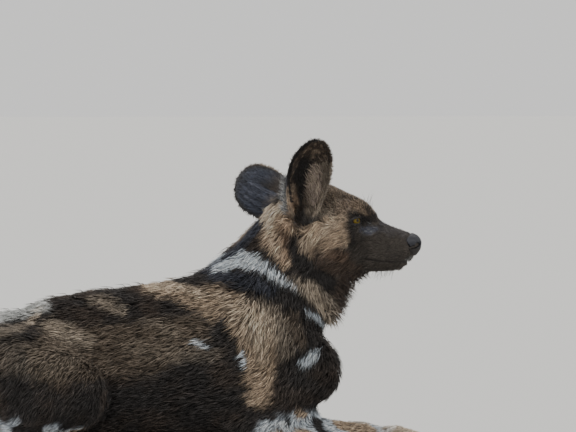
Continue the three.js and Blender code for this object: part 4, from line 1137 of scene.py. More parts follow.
def earColour(points, along, share, forward, inner):
    rows, lengths = earStreaks["stretch"]
    patch = noiseOf("earPatch", points) * earStreaks["patch"]
    streaks = noiseOf("earStreak", np.stack([share * rows, along * lengths, along * 0], 1))

    # Outside: black hair painted slate blue as a sheen, paler in the middle and at its foot, with a black rim
    edge = np.abs(share)
    outside = tone["earBlue"] * (1 + earStreaks["contrast"] * streaks)[:, None]
    pale = marked("outsideMiddle", edge) * marked("outsideHigh", along) * marked("outsideStreak", streaks)
    outside = mix(outside, tone["blueGrey"], pale)
    outside = mix(outside, tone["greyTan"], marked("outsideFoot", along + patch))
    outerEdge = np.maximum(edge, along * earStreaks["rimHigh"])
    outside = mix(outside, tone["black"], marked("outsideRim", outerEdge))

    # Inside, from behind: a stained edge, a dark band, pale hair and a grey front edge
    rear = mix(tone["umber"], tone["tan"], marked("rearStain", noiseOf("earStain", points)))
    inside = mix(rear, tone["black"], marked("band", forward + patch) * marked("bandHigh", along))
    hair = mix(tone["brown"], tone["pink"], marked("paleStreak", streaks))
    inside = mix(inside, hair, marked("paleHair", forward + patch) * marked("paleHigh", along + patch))
    front = marked("frontEdge", forward) * marked("frontHigh", along)
    inside = mix(inside, tone["greyTan"] * 0.8, front)
    inside = mix(inside, rear, marked("tip", along + patch))
    reddish = tone["tan"] * 0.7 + tone["rust"] * 0.3
    inside = mix(inside, reddish, marked("redFoot", along) * marked("redBehind", forward))
    inside = mix(inside, tone["umber"], marked("insideRim", edge) * np.where(forward > 0, *rimShare))
    return np.where(inner[:, None], inside, outside)


def coatColour(points, normals):
    q = warped(points, warp["seed"])
    jitter = noiseOf("jitter", points)
    mottle = noiseOf("mottle", points) + 0.5 * noiseOf("fineMottle", points)
    base = mix(tone["black"] * 1.2, tone["umber"], marked("umber", mottle))
    mirrored = q * [1, -1, 1] + mirror["shift"]
    mirrored[:, 0] += mirror["ahead"] * noiseOf("mirrorAhead", points)
    mirrored[:, 2] += mirror["up"] * noiseOf("mirrorUp", points)
    rightPicture, leftPicture = toPicture(q), toPicture(mirrored)
    rightSide = strokes(base, rightPicture, bodyPatches, jitter)
    leftSide = strokes(base, leftPicture, bodyPatches, jitter)
    body = mix(rightSide, leftSide, marked("leftSide", q[:, 1]))
    body = addTail(addLegs(body, points), points)

    h = toHead(q)
    head = headColour(points, h, rightPicture, jitter)
    onHead = marked("headLine", headTilt[0] * h[:, 0] + headTilt[1] * h[:, 2]) * marked("headStart", h[:, 0])
    colour = mix(body, head, onHead)

    # The band behind the cheek lies over both
    asRight = (points[:, 1:2] < 0) | (onHead[:, None] > 0.5)
    colour = strokes(colour, np.where(asRight, rightPicture, leftPicture), cheekBand, jitter)
    distance, _, raw = mouthDistance(points)
    colour = mix(colour, tone["black"], np.exp(-((distance / lipWidth) ** 2)) * marked("lip", raw[:, 0]))

    for side in sideOf:
        on, along, share, inner = earInfo(points, normals, side)
        forward = -share * sideOf[side]
        frontOutside = ~inner & (forward > earStreaks["frontFrom"])
        start = np.where(frontOutside, marked("earFrontStart", along), marked("earStart", along))
        colour = mix(colour, earColour(points, along, share, forward, inner), on * start)
        if side == "right":
            footed = strokes(colour, rightPicture, earFootPatches, jitter)
            colour = mix(colour, footed, marked("earFoot", along) * (raw[:, 1] < footLimit))
    return np.clip(colour, 0.003, 0.9)


hairFinish = paintedFinish(
    "shortHair", 0.62, 900, 0.0002, Specular_IOR_Level=0.2, Sheen_Weight=0.04, Sheen_Roughness=0.5
)
skinFinish = paintedFinish("hairySkin", 0.7, 420, 0.0008, Specular_IOR_Level=0.25)


def paint(piece, colours):  # one linear colour for each vertex
    attribute = piece.data.color_attributes.new("coatColour", "FLOAT_COLOR", "POINT")
    full = np.concatenate([colours, np.ones((len(colours), 1))], 1)
    attribute.data.foreach_set("color", full.astype(np.float32).ravel())


def unwrap(piece):
    while piece.data.uv_layers:
        piece.data.uv_layers.remove(piece.data.uv_layers[0])
    piece.data.uv_layers.new(name="OFBake")
    editAll(piece, bpy.ops.uv.smart_project, angle_limit=math.radians(70), island_margin=0.001)


unwrap(skin)
skinPoints = fromFrame(getPoints(skin))
skinNormals = getNormals(skin)
skinShade = 0.6  # painted shade: the skin under the hair is painted darker than the hair on it
paint(skin, coatColour(skinPoints, skinNormals) * skinShade)
skin.data.materials.append(skinFinish)
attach(skin, "root")
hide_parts(*[n for n in fleshNames if n != "nose"], "ear_right", "ear_left", "tail_brush")
print("skin unwrapped and painted")

# Tufts: thin closed spikes of three sides, bent once, with their root sunk in the skin
tuftShape = {
    "sink": 0.9,
    "middle": 0.5,
    "middleWidth": 0.8,
    "thickness": 0.5,
    "middleThickness": 0.9,
    "floorGap": 0.35,
    "patch": 0.003,  # width of a tuft's place in the unwrap
}
tuftFaces = np.array([
    (0, 2, 1), (0, 1, 4), (0, 4, 3), (1, 2, 5), (1, 5, 4), (2, 0, 3), (2, 3, 5), (3, 4, 6), (4, 5, 6), (5, 3, 6),
])
tuftPatch = np.array([(-1, -1), (1, -1), (0, -0.6), (-0.7, 0.2), (0.7, 0.2), (0, 0.4), (0, 1)])
tuftPatch *= tuftShape["patch"] / 2


def buildTufts(name, root, normal, lie, length, width, lift, curve, rootColour, tipColour, uv):
    count = len(root)
    side = unit(np.cross(lie, normal))
    width, length, lift = width[:, None], length[:, None], lift[:, None]
    start = root - normal * tuftShape["sink"]
    firstWay = unit(lie + normal * lift)
    lastWay = unit(lie + normal * (lift - curve[:, None]))
    middle = root + firstWay * length * tuftShape["middle"]
    tip = middle + lastWay * length * (1 - tuftShape["middle"])
    crown = normal * width * tuftShape["thickness"]
    half = side * width / 2
    middleHalf = half * tuftShape["middleWidth"]
    middleTop = middle + crown * tuftShape["middleThickness"]
    foot = [start - half, start + half, start + crown]
    points = np.stack([*foot, middle - middleHalf, middle + middleHalf, middleTop, tip], 1)
    points[..., 2] = np.maximum(points[..., 2], tuftShape["floorGap"])
    mesh = bpy.data.meshes.new(name)
    mesh.vertices.add(count * 7)
    mesh.vertices.foreach_set("co", toFrame(points).astype(np.float32).ravel())
    corners = (tuftFaces[None] + 7 * np.arange(count)[:, None, None]).reshape(-1)
    mesh.loops.add(len(corners))
    mesh.loops.foreach_set("vertex_index", corners.astype(np.int32))
    mesh.polygons.add(len(corners) // 3)
    mesh.polygons.foreach_set("loop_start", np.arange(0, len(corners), 3, dtype=np.int32))
    mesh.polygons.foreach_set("use_smooth", np.ones(len(corners) // 3, bool))
    mesh.update(calc_edges=True)
    mesh.validate()
    piece = bpy.data.objects.new(name, mesh)
    bpy.context.scene.collection.objects.link(piece)
    uvs = np.clip(uv[:, None] + tuftPatch[None], 0, 1).reshape(-1, 2)[corners]
    mesh.uv_layers.new(name="OFBake").data.foreach_set("uv", uvs.astype(np.float32).ravel())
    shades = np.stack([rootColour] * 3 + [(rootColour + tipColour) / 2] * 3 + [tipColour], 1)
    paint(piece, shades.reshape(-1, 3))
    mesh.materials.append(hairFinish)
    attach(piece, "root")
    return piece


def skinTriangles(piece):
    mesh = piece.data
    mesh.calc_loop_triangles()
    loops = readAll(mesh.loop_triangles, "loops", 3, np.int32)
    uvs = readAll(mesh.uv_layers["OFBake"].data, "uv", 2)
    return readAll(mesh.loop_triangles, "vertices", 3, np.int32), uvs[loops]


draw = np.random.default_rng(20)
triangles, triangleUv = skinTriangles(skin)
skinMiddles = skinPoints[triangles].mean(1)
skinFacing = unit(skinNormals[triangles].sum(1))
squareCm = 100  # mm2


def between(span, shape):
    low, high = span
    return low + (high - low) * draw.random(shape)


def scatter(weight, count=None):  # places on the skin, drawn by area and weight
    a, b, c = (skinPoints[triangles[:, k]] for k in range(3))
    area = np.linalg.norm(np.cross(b - a, c - a), axis=1) / 2
    running = np.cumsum(area * weight)
    if count is None:
        count = int(running[-1] / squareCm)
    picked = np.searchsorted(running, draw.random(count) * running[-1])
    r1, r2 = np.sqrt(draw.random(count)), draw.random(count)
    shares = np.stack([1 - r1, r1 * (1 - r2), r1 * r2], 1)
    point = np.einsum("nk,nkd->nd", shares, skinPoints[triangles[picked]])
    normal = unit(np.einsum("nk,nkd->nd", shares, skinNormals[triangles[picked]]))
    uv = np.einsum("nk,nkd->nd", shares, triangleUv[picked])
    return point, normal, uv


def lieOn(lie, normal, swirl):  # the hair's direction in the skin's own plane, with a little turning
    flat = unit(lie - normal * np.einsum("ij,ij->i", lie, normal)[:, None])
    side = np.cross(normal, flat)
    return flat * np.cos(swirl)[:, None] + side * np.sin(swirl)[:, None]


noseEdge = {"z": (306, 311, 318, 326, 335, 342, 352), "ahead": (206, 201, 195.5, 191, 191, 196, 200)}


def onLeather(q):  # within the outline of the nose leather in the head's side view
    return (q[:, 0] > np.interp(q[:, 2], noseEdge["z"], noseEdge["ahead"])) & (q[:, 2] > noseEdge["z"][0])


coat = {
    "density": 0.9,
    # painted shade at the roots and painted light at the tips: each tuft is darker at its root and paler at its
    # tip
    "rootTone": 0.68,
    "tipTone": 1.4,
    "faceCalm": 0.8,
    "facePick": 0.76,
    "darkShare": 0.16,
    "darkTone": 0.45,
    "paleShare": 0.15,
    "paleTone": (1.4, 0.012),
    "swirl": 0.16,
    "clumpSwirl": 0.3,
    "brightness": 0.2,
    "clumpBrightness": 0.3,
    "shades": (0.45, 1.7),
    "lengthSpread": 0.18,
    "lengthPatches": 0.12,
    "lift": (1.55, 0.12, 0.6),  # for the coat's depth, then least and most
    "liftSpread": 0.35,
    "curve": 0.8,
    "strayShare": 0.06,
    "crownStrays": 0.5,
    "crown": (60, 368),  # ahead of and above this in the head's frame
    "strayLift": 0.6,
    "mostTufts": 19500,  # in one piece
}
# No hair on the lids, in the mouth and on the floor, and less of it underneath
bare = {
    "eyeReach": 26,
    "lids": 1.45,
    "mouth": 1.3,
    "mouthFrom": 116,
    "floor": 1.2,
    "under": -0.8,
    "underShare": 0.5,
}
# The ears' own coat, with a pair for inside and outside
earCoat = {
    "from": 0.04,
    "density": (34, 40),
    "length": (7.5, 11.5),
    "lift": (0.34, 0.2),
    "lengths": (0.8, 1.2),
    "width": 0.75,
    "curve": 0.2,
    "swirl": 0.5,
    "fan": (0.5, 0.35),
    "sweep": (-0.4, 0.6),
}


def coatWeight():  # tufts per cm2 on each of the skin's triangles
    _, values, _ = coatAt(skinMiddles)
    weight = values["density"]
    for side in sideOf:
        on, along, _, inner = earInfo(skinMiddles, skinFacing, side)
        weight = np.where(on & (along > earCoat["from"]), np.where(inner, *earCoat["density"]), weight)
        ahead, out = lidPlace(side, skinMiddles)
        near = np.linalg.norm(skinMiddles - eyeFrame(side)[0], axis=1) < bare["eyeReach"]
        weight = np.where(near & (out < bare["lids"]) & (ahead > 0), 0, weight)
    distance, _, q = mouthDistance(skinMiddles)
    inMouth = (distance < bare["mouth"]) & (q[:, 0] > bare["mouthFrom"])
    weight = np.where(inMouth | onLeather(q) | (skinMiddles[:, 2] < bare["floor"]), 0, weight)
    return np.where(skinFacing[:, 2] < bare["under"], weight * bare["underShare"], weight)


def tuftColours(at, normal, root, onFace):
    count = len(root)
    colour = coatColour(at, normal)
    pick = draw.random(count)[:, None]
    pick = np.where(onFace[:, None], coat["darkShare"] + coat["facePick"] * pick, pick)
    colour = np.where(pick < coat["darkShare"], colour * coat["darkTone"], colour)
    gain, added = coat["paleTone"]
    colour = np.where(pick > 1 - coat["paleShare"], colour * gain + added, colour)
    streak = noiseOf("streak", root) * coat["clumpBrightness"]
    streak += coat["brightness"] * draw.standard_normal(count)
    streak *= np.where(onFace, coat["faceCalm"], 1)
    colour = colour * np.clip(1 + streak, *coat["shades"])[:, None]
    # painted shade at the root, painted light at the tip
    return np.clip(colour * coat["rootTone"], 0.002, 0.9), np.clip(colour * coat["tipTone"], 0.003, 0.95)


def makeCoat():
    root, normal, uv = scatter(coatWeight() * coat["density"])
    count = len(root)
    lie, values, piece = coatAt(root)
    width, depth = values["width"], values["depth"]
    swirl = coat["clumpSwirl"] * noiseOf("clump", root) + coat["swirl"] * draw.standard_normal(count)
    length = values["length"] * (1 + coat["lengthSpread"] * draw.standard_normal(count).clip(-2, 2))
    length *= 1 + coat["lengthPatches"] * noiseOf("length", root)
    forDepth, least, most = coat["lift"]
    lift = np.clip(forDepth * depth / np.maximum(length, 1), least, most)
    lift *= 1 + coat["liftSpread"] * np.abs(draw.standard_normal(count))
    head = toHead(root)
    onCrown = (head[:, 0] > coat["crown"][0]) & (head[:, 2] > coat["crown"][1])
    onCrown |= piece == pieceNames.index("coatCrown")
    strays = draw.random(count) < np.where(onCrown, coat["crownStrays"], coat["strayShare"])
    lift = np.where(strays, lift + coat["strayLift"], lift)
    curve = lift * coat["curve"]
    names = [*pieceNames, "coatEarRight", "coatEarLeft"]
    for side in sideOf:
        on, along, share, inner = earInfo(root, normal, side)
        on &= along > earCoat["from"]
        _, axis, _, across, *_ = earFrame(side)
        forward = -sideOf[side]
        insideFan, outsideFan = earCoat["fan"]
        outsideLie = axis + outsideFan * share[:, None] * across
        sweep = forward * smooth(*earCoat["sweep"], share * forward)
        insideLie = axis - insideFan * sweep[:, None] * across
        lie = np.where(on[:, None], np.where(inner[:, None], insideLie, outsideLie), lie)
        earLength = np.where(inner, *earCoat["length"]) * between(earCoat["lengths"], count)
        length = np.where(on, earLength, length)
        width = np.where(on, earCoat["width"], width)
        swirl = np.where(on, swirl * earCoat["swirl"], swirl)
        lift = np.where(on, np.where(inner, *earCoat["lift"]), lift)
        curve = np.where(on, earCoat["curve"], curve)
        piece = np.where(on, names.index("coatEar" + side.capitalize()), piece)
    lie = lieOn(lie, normal, swirl)
    at = root + normal * depth[:, None] / 2 + lie * length[:, None] / 2
    rootColour, tipColour = tuftColours(at, normal, root, piece == pieceNames.index("coatFace"))
    rows = (root, normal, lie, length, width, lift, curve, rootColour, tipColour, uv)
    for index, name in enumerate(names):
        mine = np.nonzero(piece == index)[0]
        parts = max(1, math.ceil(len(mine) / coat["mostTufts"]))
        order = mine[np.argsort(root[mine, 1 if parts == 2 else 0], kind="stable")]
        for part, chosen in enumerate(np.array_split(order, parts)):
            label = name if parts == 1 else f"{name}{part + 1}"
            buildTufts(label, *(row[chosen] for row in rows))
    print("coat", count, "tufts", count * len(tuftFaces), "triangles")


makeCoat()
# the locks too get painted shade at their roots and painted light at their tips
locks = {"swirl": 0.12, "shades": (0.5, 1.6), "rootTone": 0.6, "tipTone": 1.2, "spread": 0.18}


def makeLocks(name, root, normal, uv, lie, length, width, lift, curve, colour):
    count = len(root)
    shade = np.clip(1 + locks["spread"] * draw.standard_normal(count), *locks["shades"])[:, None]
    flat = lieOn(lie, normal, locks["swirl"] * draw.standard_normal(count))
    shaded = np.asarray(colour, float) * shade
    full = np.ones(count)
    buildTufts(
        name, root, normal, flat, length * full, width * full, lift * full, curve * full,
        np.clip(shaded * locks["rootTone"], 0.002, 0.9), np.clip(shaded * locks["tipTone"], 0.003, 0.95), uv,
    )


def liftTowards(way, normal):  # how far a hair stands off the skin to point that way
    outwards = np.clip(np.einsum("ij,ij->i", unit(way), normal), 0.08, 0.93)
    return outwards / np.sqrt(1 - outwards**2)


# Long hair of the throat: it points forward and down, and its tips draw together into pointed clumps
ruff = {
    "count": 1700,
    "clumps": 120,
    "length": (13, 27),
    "width": 0.85,
    "gather": 0.6,
    "curve": 0.15,
    "wander": 0.14,
    "from": (50, 62),
    "to": (130, 116),
    "halfWide": 44,
    "low": (196, 214),
    "high": (292, 280),
    "facing": (0.1, 0.5),
    "rise": (225, 285),
    "shorter": (262, 284, 0.4),
}


def makeRuff():
    q = toHead(skinMiddles)
    facing = toHead(skinFacing)
    inside = smooth(*ruff["from"], q[:, 0]) * smooth(*ruff["to"], q[:, 0])
    inside *= np.abs(q[:, 1]) < ruff["halfWide"]
    inside *= smooth(*ruff["low"], q[:, 2]) * smooth(*ruff["high"], q[:, 2])
    inside *= smooth(*ruff["facing"], facing[:, 0] - facing[:, 2])
    root, normal, uv = scatter(inside, ruff["count"])
    count = len(root)
    q = toHead(root)
    up = 0.1 * smooth(*ruff["rise"], q[:, 2])
    way = fromHead(np.stack([0.7 + up, 0.5 * q[:, 1] / 40, -0.66 - up], 1))
    way = unit(way + ruff["wander"] * draw.standard_normal((count, 3)))
    start, end, shorter = ruff["shorter"]
    length = between(ruff["length"], count) * (1 - shorter * smooth(start, end, q[:, 2]))
    leaders = draw.choice(count, ruff["clumps"], replace=False)
    leader = leaders[np.argmin(np.linalg.norm(root[:, None] - root[None, leaders], axis=2), 1)]
    target = root[leader] + way[leader] * length[leader, None]
    way = unit(way * (1 - ruff["gather"]) + unit(target - root) * ruff["gather"])
    tint = tone["black"] + (tone["warmDark"] - tone["black"]) * 1.3 * draw.random((count, 1))
    lift = liftTowards(way, normal)
    makeLocks("coatRuff", root, normal, uv, way, length, ruff["width"], lift, ruff["curve"], tint)


# Short hair that stands up on the crown and brow, pale among dark
crest = {
    "count": 4200,
    "length": (6, 11),
    "width": 0.75,
    "from": (38, 60),
    "to": (146, 132),
    "high": (370, 384),
    "way": (-0.75, 0, 0.5),
    "wander": 0.3,
    "paleShare": 0.4,
    "lift": (0.8, 1.5),
    "curve": 0.15,
}


def makeCrest():
    q = toHead(skinMiddles)
    onBrow = smooth(*crest["from"], q[:, 0]) * smooth(*crest["to"], q[:, 0]) * smooth(*crest["high"], q[:, 2])
    onBrow = np.where(onAnEar(skinMiddles, skinFacing), 0, onBrow)
    root, normal, uv = scatter(onBrow, crest["count"])
    count = len(root)
    length = between(crest["length"], count)
    way = fromHead(crest["way"]) + crest["wander"] * draw.standard_normal((count, 3))
    tint = np.where(draw.random((count, 1)) < crest["paleShare"], tone["buff"], tone["umber"])
    lift = between(crest["lift"], count)
    makeLocks("coatCrest", root, normal, uv, way, length, crest["width"], lift, crest["curve"], tint)


# Hair of the tail's brush, along the tail's line by shares of its length
brush = {
    "count": 3400,
    "length": (34, 58),
    "width": 1.9,
    "from": (0.38, 0.5),
    "reach": 34,
    "taper": (1.05, 0.45),
    "lift": (0.16, 0.48),
    "curve": 0.3,
    "white": (0.44, 0.52),
    "whiteSpread": 0.05,
}


def makeBrush():
    line = tailPoints()
    steps = tail["steps"]
    best = np.full(len(skinMiddles), 1e9)
    share = np.zeros(len(skinMiddles))
    for i, at in enumerate(line):
        distance = np.linalg.norm(skinMiddles - at, axis=1)
        share = np.where(distance < best, i / steps, share)
        best = np.minimum(best, distance)
    root, normal, uv = scatter(smooth(*brush["from"], share) * (best < brush["reach"]), brush["count"])
    count = len(root)
    nearest = np.argmin(np.linalg.norm(root[:, None] - line[None], axis=2), 1)
    ahead = unit(line[np.minimum(nearest + 2, steps)] - line[np.maximum(nearest - 1, 0)])
    place = nearest / steps
    full, taper = brush["taper"]
    length = between(brush["length"], count) * (full - taper * place)
    lift = between(brush["lift"], count)
    white = smooth(*brush["white"], place + brush["whiteSpread"] * draw.standard_normal(count))
    tint = mix(tone["black"], tone["white"], white)
    makeLocks("coatBrush", root, normal, uv, ahead, length, brush["width"], lift, brush["curve"], tint)


# Hair of the ears: a fringe on the rim, long pale tufts inside the front edge, and a fringe behind the foot
earHair = {
    "rim": 1500,
    "rimLength": (4.2, 9.8),
    "rimWidth": 1.3,
    "rimFrom": (0.22, 0.78, 0.992),
    "tufts": 520,
    "tuftLength": (11, 24),
    "tuftPlace": (0.38, 0.15, 0.75),
    "tuftShare": (0.58, 0.25, 0.82),
    "spread": 0.12,
    "sweep": (0.35, 1.1),
    "fringe": 360,
    "fringeLength": (12, 25),
    "fringePlace": (0.06, 0.48),
    "fringeShare": (0.35, 0.85),
    "fringeWay": (-0.8, 0.1, 0.6),
}
block = 400  # points that are looked up at once


def nearestUv(points):  # the unwrap's place of the nearest of the skin's triangles
    found = np.zeros((len(points), 2))
    low, high = points.min(0) - 12, points.max(0) + 12
    near = np.nonzero(((skinMiddles > low) & (skinMiddles < high)).all(1))[0]
    for first in range(0, len(points), block):
        some = points[first : first + block]
        index = near[np.argmin(((some[:, None] - skinMiddles[None, near]) ** 2).sum(2), 1)]
        found[first : first + block] = triangleUv[index].mean(1)
    return found


def makeRim(side, name, axis, forward):
    count = earHair["rim"]
    share = np.where(draw.random(count) < 0.5, -1.0, 1.0)
    start, rest, most = earHair["rimFrom"]
    along = np.minimum(start + rest * np.sqrt(draw.random(count)), most)
    at = earPoint(side, along, share * 0.985, 1.2)
    outward = unit(at - earPoint(side, along, share * 0.9, 1.2))
    normal = unit(np.cross(outward, axis) * share[:, None] * forward + 0.4 * draw.standard_normal((count, 3)))
    lie = outward * between((0.9, 1.4), (count, 1)) + axis * 0.7
    length = between(earHair["rimLength"], count)
    front = (share * forward > 0)[:, None]
    frontTone = np.where((along < 0.72)[:, None], tone["greyTan"] * 0.8, tone["umber"])
    tint = np.where(front, frontTone, tone["black"]) * between((0.6, 1.4), (count, 1))
    makeLocks(name + "Rim", at, normal, nearestUv(at), lie, length, earHair["rimWidth"], 0.15, 0.1, tint)


def makeInner(side, name, axis, across, forward):  # sweeps up and back from the front edge
    count = earHair["tufts"]
    middle, *limits = earHair["tuftPlace"]
    along = np.clip(middle + earHair["spread"] * draw.standard_normal(count), *limits)
    middle, *limits = earHair["tuftShare"]
    share = forward * np.clip(middle + earHair["spread"] * draw.standard_normal(count), *limits)
    at = earPoint(side, along, share, -0.4)
    normal = unit(at - earPoint(side, along, share, 3))
    sweep = between(earHair["sweep"], (count, 1))
    lie = axis * (1.25 - sweep) - forward * across * sweep
    length = between(earHair["tuftLength"], count) * (1 - 0.4 * along)
    shade = draw.random((count, 1))
    tint = tone["pink"] + (tone["cream"] - tone["pink"]) * smooth(0.5, 0.8, shade)
    tint = np.where(shade < 0.3, tone["greyTan"], tint)
    tint = np.where(shade < 0.1, tone["umber"], tint)
    makeLocks(name + "Inner", at, normal, nearestUv(at), lie, length, 0.9, 0.35, 0.25, tint)


def makeFringe(side, name, forward):  # pale hair behind the foot
    count = earHair["fringe"]
    along = between(earHair["fringePlace"], count)
    share = -forward * between(earHair["fringeShare"], count)
    at = earPoint(side, along, share, ears["wall"])
    normal = unit(at - earPoint(side, along, share, -1))
    lie = fromHead(earHair["fringeWay"]) + 0.3 * draw.standard_normal((count, 3))
    length = between(earHair["fringeLength"], count) * (1 - 0.6 * along)
    lift = liftTowards(lie, normal)
    shade = draw.random((count, 1))
    tint = tone["paleGrey"] * between((0.5, 1.3), (count, 1))
    tint = np.where(shade < 0.35, tone["blueGrey"] * 0.7, tint)
    makeLocks(name + "Fringe", at, normal, nearestUv(at), lie, length, 0.6, lift, 0.2, tint)


def makeEarHair(side):
    _, axis, _, across, *_ = earFrame(side)
    forward = -sideOf[side]
    name = "coatEarHair" + side.capitalize()
    makeRim(side, name, axis, forward)
    makeInner(side, name, axis, across, forward)
    if side == "right":
        makeFringe(side, name, forward)


# Whiskers: thin single hairs, in rows of a place in the head's frame, way, length, count and spread
whiskers = {
    "width": 0.55,
    "wander": 0.22,
    "lengths": (0.6, 1.25),
    "curve": 0.35,
    "headFrom": 60,
    "tone": 0.8,
    "rows": [
        ((134, 20, 390), (0.25, 0.25, 1), 28, 7, 6),
        ((120, 40, 384), (0.1, 0.6, 0.8), 20, 4, 4),
        ((158, 14, 280), (-0.35, 0.2, -1), 20, 16, 16),
        ((128, 24, 278), (-0.5, 0.3, -1), 18, 10, 12),
        ((184, 17, 312), (-0.4, 0.9, -0.35), 20, 14, 10),
        ((168, 22, 316), (-0.6, 0.8, -0.25), 22, 10, 9),
        ((98, 54, 322), (-0.5, 0.7, -0.5), 20, 5, 5),
    ],
}


def makeWhiskers():
    ahead = np.nonzero(toHead(skinPoints)[:, 0] > whiskers["headFrom"])[0]
    roots, lies, lengths = [], [], []
    for at, way, length, count, spread in whiskers["rows"]:
        for side in sideOf.values():
            for _ in range(count):
                target = np.array(at) * [1, side, 1] + spread * draw.uniform(-1, 1, 3)
                nearest = ahead[np.argmin(np.linalg.norm(skinPoints[ahead] - fromHead(target), axis=1))]
                roots.append(nearest)
                lie = fromHead(np.array(way) * [1, side, 1])
                lies.append(lie + whiskers["wander"] * draw.standard_normal(3))
                lengths.append(length * draw.uniform(*whiskers["lengths"]))
    root, normal, lie = skinPoints[roots], skinNormals[roots], np.array(lies)
    lift = liftTowards(lie, normal)
    makeLocks(
        "whiskers", root, normal, nearestUv(root), lie, np.array(lengths), whiskers["width"], lift,
        lift * whiskers["curve"], tone["black"] * whiskers["tone"],
    )


makeRuff()
makeCrest()
makeBrush()
for side in sideOf:
    makeEarHair(side)
makeWhiskers()
bpy.context.view_layer.update()
print("long hair")


# Eyes
iris = [  # colours of the eyeball by the angle from the middle of its front
    (0.0, (0.002, 0.002, 0.002)),
    (0.18, (0.003, 0.002, 0.002)),
    (0.23, (0.05, 0.032, 0.003)),
    (0.38, (0.165, 0.115, 0.008)),
    (0.60, (0.135, 0.085, 0.006)),
    (0.70, (0.05, 0.027, 0.003)),
    (0.76, (0.010, 0.007, 0.005)),
    (1.0, (0.03, 0.02, 0.016)),
]
irisWobble = 0.06
cornea = {"shrink": 0.3, "angles": (0.2, 0.85)}
lidRings = {  # each with its distance out of the opening and its height over the eyeball
    "steps": 48,
    "profile": [(-0.9, 0.15), (-0.5, 1.0), (0.5, 1.9), (1.8, 2.3), (3.2, 1.6), (3.2, 0.2), (0.6, -0.6)],
    "tone": (0.012, 0.010, 0.010, 1),
}


def makeEye(side):
    centre, radius, gaze, _, across = eyeFrame(side)
    bpy.ops.mesh.primitive_uv_sphere_add(
        segments=64, ring_count=40, radius=(radius - cornea["shrink"]) * mm, location=(0, 0, 0)
    )
    eye = bpy.context.object
    eye.name = eye.data.name = "eye" + side.capitalize()
    points = getPoints(eye) / mm
    angle = np.arccos(np.clip(points[:, 2] / np.linalg.norm(points, axis=1), -1, 1))
    points *= 1 + (eyes["corneaRise"] / radius) * (1 - smooth(*cornea["angles"], angle))[:, None]
    placed = points[:, 0:1] * across + points[:, 1:2] * np.cross(gaze, across) + points[:, 2:3] * gaze
    setPoints(eye, toFrame(placed + centre))
    bpy.ops.object.shade_smooth()
    attribute = eye.data.attributes.new("irisAngle", "FLOAT", "POINT")
    attribute.data.foreach_set("value", angle.astype(np.float32))
    eye.data.materials.append(eyeFinish)
    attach(eye, "root")
    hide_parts("eye_" + side)


def makeEyeFinish():
    material, tree, shader = shaderOf(
        "amberEye", 0.12, Coat_Weight=0.2, Coat_Roughness=0.03, Specular_IOR_Level=0.15
    )
    angle = addNode(tree, "Attribute")
    angle.attribute_name = "irisAngle"
    noise = addNoise(tree, 900, 2)
    wobble = addNode(tree, "Math")
    wobble.operation = "MULTIPLY_ADD"
    wobble.inputs[1].default_value = irisWobble
    link(tree, noise, "Fac", wobble, 0)
    link(tree, angle, "Fac", wobble, 2)
    ramp = addNode(tree, "ValToRGB")
    while len(ramp.color_ramp.elements) < len(iris):
        ramp.color_ramp.elements.new(0.5)
    for element, (position, colour) in zip(ramp.color_ramp.elements, iris):
        element.position = position
        element.color = (*colour, 1)
    link(tree, wobble, "Value", ramp, "Fac")
    link(tree, ramp, "Color", shader, "Base Color")
    return material


def makeLids():  # the dark bare rim round each eye
    steps, profile = lidRings["steps"], lidRings["profile"]
    points, faces = [], []
    for side in sideOf:
        first = len(points)
        for i in range(steps):
            for gap, height in profile:
                points.append(lidRim(side, i / steps, gap, height))
        n = len(profile)
        for i in range(steps):
            for k in range(n):
                a, b = first + i * n + k, first + i * n + (k + 1) % n
                c, d = first + ((i + 1) % steps) * n + (k + 1) % n, first + ((i + 1) % steps) * n + k
                faces.append((a, b, c, d))
    lids = newMesh("eyelids", toFrame(points), faces)
    editAll(lids, bpy.ops.mesh.normals_make_consistent, inside=False)
    rounded(lids, 1)
    material, tree, shader = shaderOf("darkLid", 0.38, Specular_IOR_Level=0.5, Base_Color=lidRings["tone"])
    addBump(tree, shader, addNoise(tree, 1400, 3), "Fac", 0.5, 0.0004)
    lids.data.materials.append(material)
    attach(lids, "root")


eyeFinish = makeEyeFinish()
for side in sideOf:
    makeEye(side)
makeLids()
print("eyes")


# Nose leather. The nostril is a row of pits, from a round one in front to a slit behind and below,
# each with its place and size in the head's side view and its depth
noseSettings = {
    "nostril": [
        ((206.5, 327.5), (3.6, 3.4), 3.6),
        ((201.5, 324.0), (4.2, 2.6), 3.4),
        ((196.0, 322.5), (4.0, 2.2), 3.0),
        ((191.8, 325.5), (2.4, 3.0), 2.6),
        ((189.8, 329.5), (1.7, 2.6), 1.8),
    ],
    "side": (3, 6),  # the nostrils lie further than this from the middle
    "wing": [((199, 331), (6, 4.5), 1.5), ((202, 316), (7, 3), 0.8)],
    "voxel": 0.8,
    "rounds": 10.0,
    "swell": 1.3,
    "groove": 1.6,  # down the middle, with its half width and where it runs
    "grooveHalf": 0.9,
    "grooveAhead": (200, 206),
    "grooveLow": (334, 322),
    # painted light: the top of the leather is painted paler and bluer as a sheen, and its lower part darker as
    # shade
    "topTone": (0.025, 0.026, 0.032),
    "lowTone": (0.021, 0.018, 0.017),
    "toneChange": (319, 328),
    "gloss": 10,
    "pebbles": 900,
}


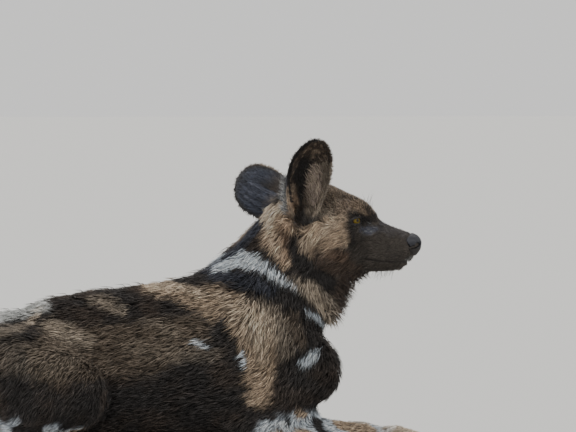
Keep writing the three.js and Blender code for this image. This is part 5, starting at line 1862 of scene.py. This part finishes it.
def shapeNose(nose):  # gives back its colours
    points = fromFrame(getPoints(nose))
    points = relax(points, getEdges(nose), np.full(len(points), noseSettings["rounds"]))
    setPoints(nose, toFrame(points))
    q = toHead(points)
    groove = np.exp(-((q[:, 1] / noseSettings["grooveHalf"]) ** 2))
    groove *= smooth(*noseSettings["grooveAhead"], q[:, 0]) * smooth(*noseSettings["grooveLow"], q[:, 2])
    swell = noseSettings["swell"] - noseSettings["groove"] * groove
    # painted shade: darker down the groove
    shade = 1 - 0.5 * groove
    aside = smooth(*noseSettings["side"], np.abs(q[:, 1]))
    for place, size, depth in noseSettings["nostril"]:
        reach = np.linalg.norm((q[:, [0, 2]] - place) / size, axis=1)
        swell -= depth * smooth(1.25, 0.45, reach) * aside
        # painted shade: darker in the nostril pits
        shade = np.minimum(shade, 1 - 0.9 * smooth(1.3, 0.8, reach) * aside)
    for place, size, rise in noseSettings["wing"]:
        swell += rise * smooth(1.2, 0.2, np.linalg.norm((q[:, [0, 2]] - place) / size, axis=1)) * aside
    setPoints(nose, toFrame(points + getNormals(nose) * swell[:, None]))
    # painted sheen on the top of the leather and painted shade on its lower part, changing with height
    top = smooth(*noseSettings["toneChange"], q[:, 2])
    return mix(np.array(noseSettings["lowTone"]), np.array(noseSettings["topTone"]), top) * shade[:, None]


def makeNose():
    nose = mergedCopy(["nose"], "noseLeather")
    oneSurface(nose, noseSettings["voxel"])
    paint(nose, shapeNose(nose))
    only(nose)
    bpy.ops.object.shade_smooth()
    material, tree, shader = shaderOf("noseLeather", 0.5, Specular_IOR_Level=0.35)
    colour = paintedColour(tree)
    link(tree, colour, "Color", shader, "Base Color")
    # the specular follows the painted colour, so the painted shade also dulls the pits and the groove
    gloss = addNode(tree, "Math")
    gloss.operation = "MULTIPLY"
    gloss.inputs[1].default_value = noseSettings["gloss"]
    link(tree, colour, "Color", gloss, 0)
    link(tree, gloss, "Value", shader, "Specular IOR Level")
    place = addNode(tree, "TexCoord")
    pebbles = addNode(tree, "TexVoronoi", Scale=noseSettings["pebbles"])
    link(tree, place, "Object", pebbles, "Vector")
    addBump(tree, shader, pebbles, "Distance", 0.7, 0.0005)
    nose.data.materials.append(material)
    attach(nose, "root")
    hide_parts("nose")


makeNose()
print("nose")

# Claws
clawTones = [(0.012, 0.010, 0.009, 1), (0.055, 0.042, 0.033, 1)]


def makeClaws():
    material, tree, shader = shaderOf("clawHorn", 0.35, Specular_IOR_Level=0.5)
    ramp = addNode(tree, "ValToRGB")
    for element, colour in zip(ramp.color_ramp.elements, clawTones):
        element.color = colour
    link(tree, addNoise(tree, 260, 4), "Fac", ramp, "Fac")
    link(tree, ramp, "Color", shader, "Base Color")
    for foot in ("fore", "hind"):
        for side in sideOf:
            for toe in range(1, 5):
                node = f"claw_{foot}_{side}_{toe}"
                claw = mergedCopy([node], f"claw{foot.capitalize()}{side.capitalize()}{toe}")
                rounded(claw, 2)
                claw.data.materials.append(material)
                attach(claw, "root")
                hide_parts(node)


makeClaws()
print("claws")

print("done")
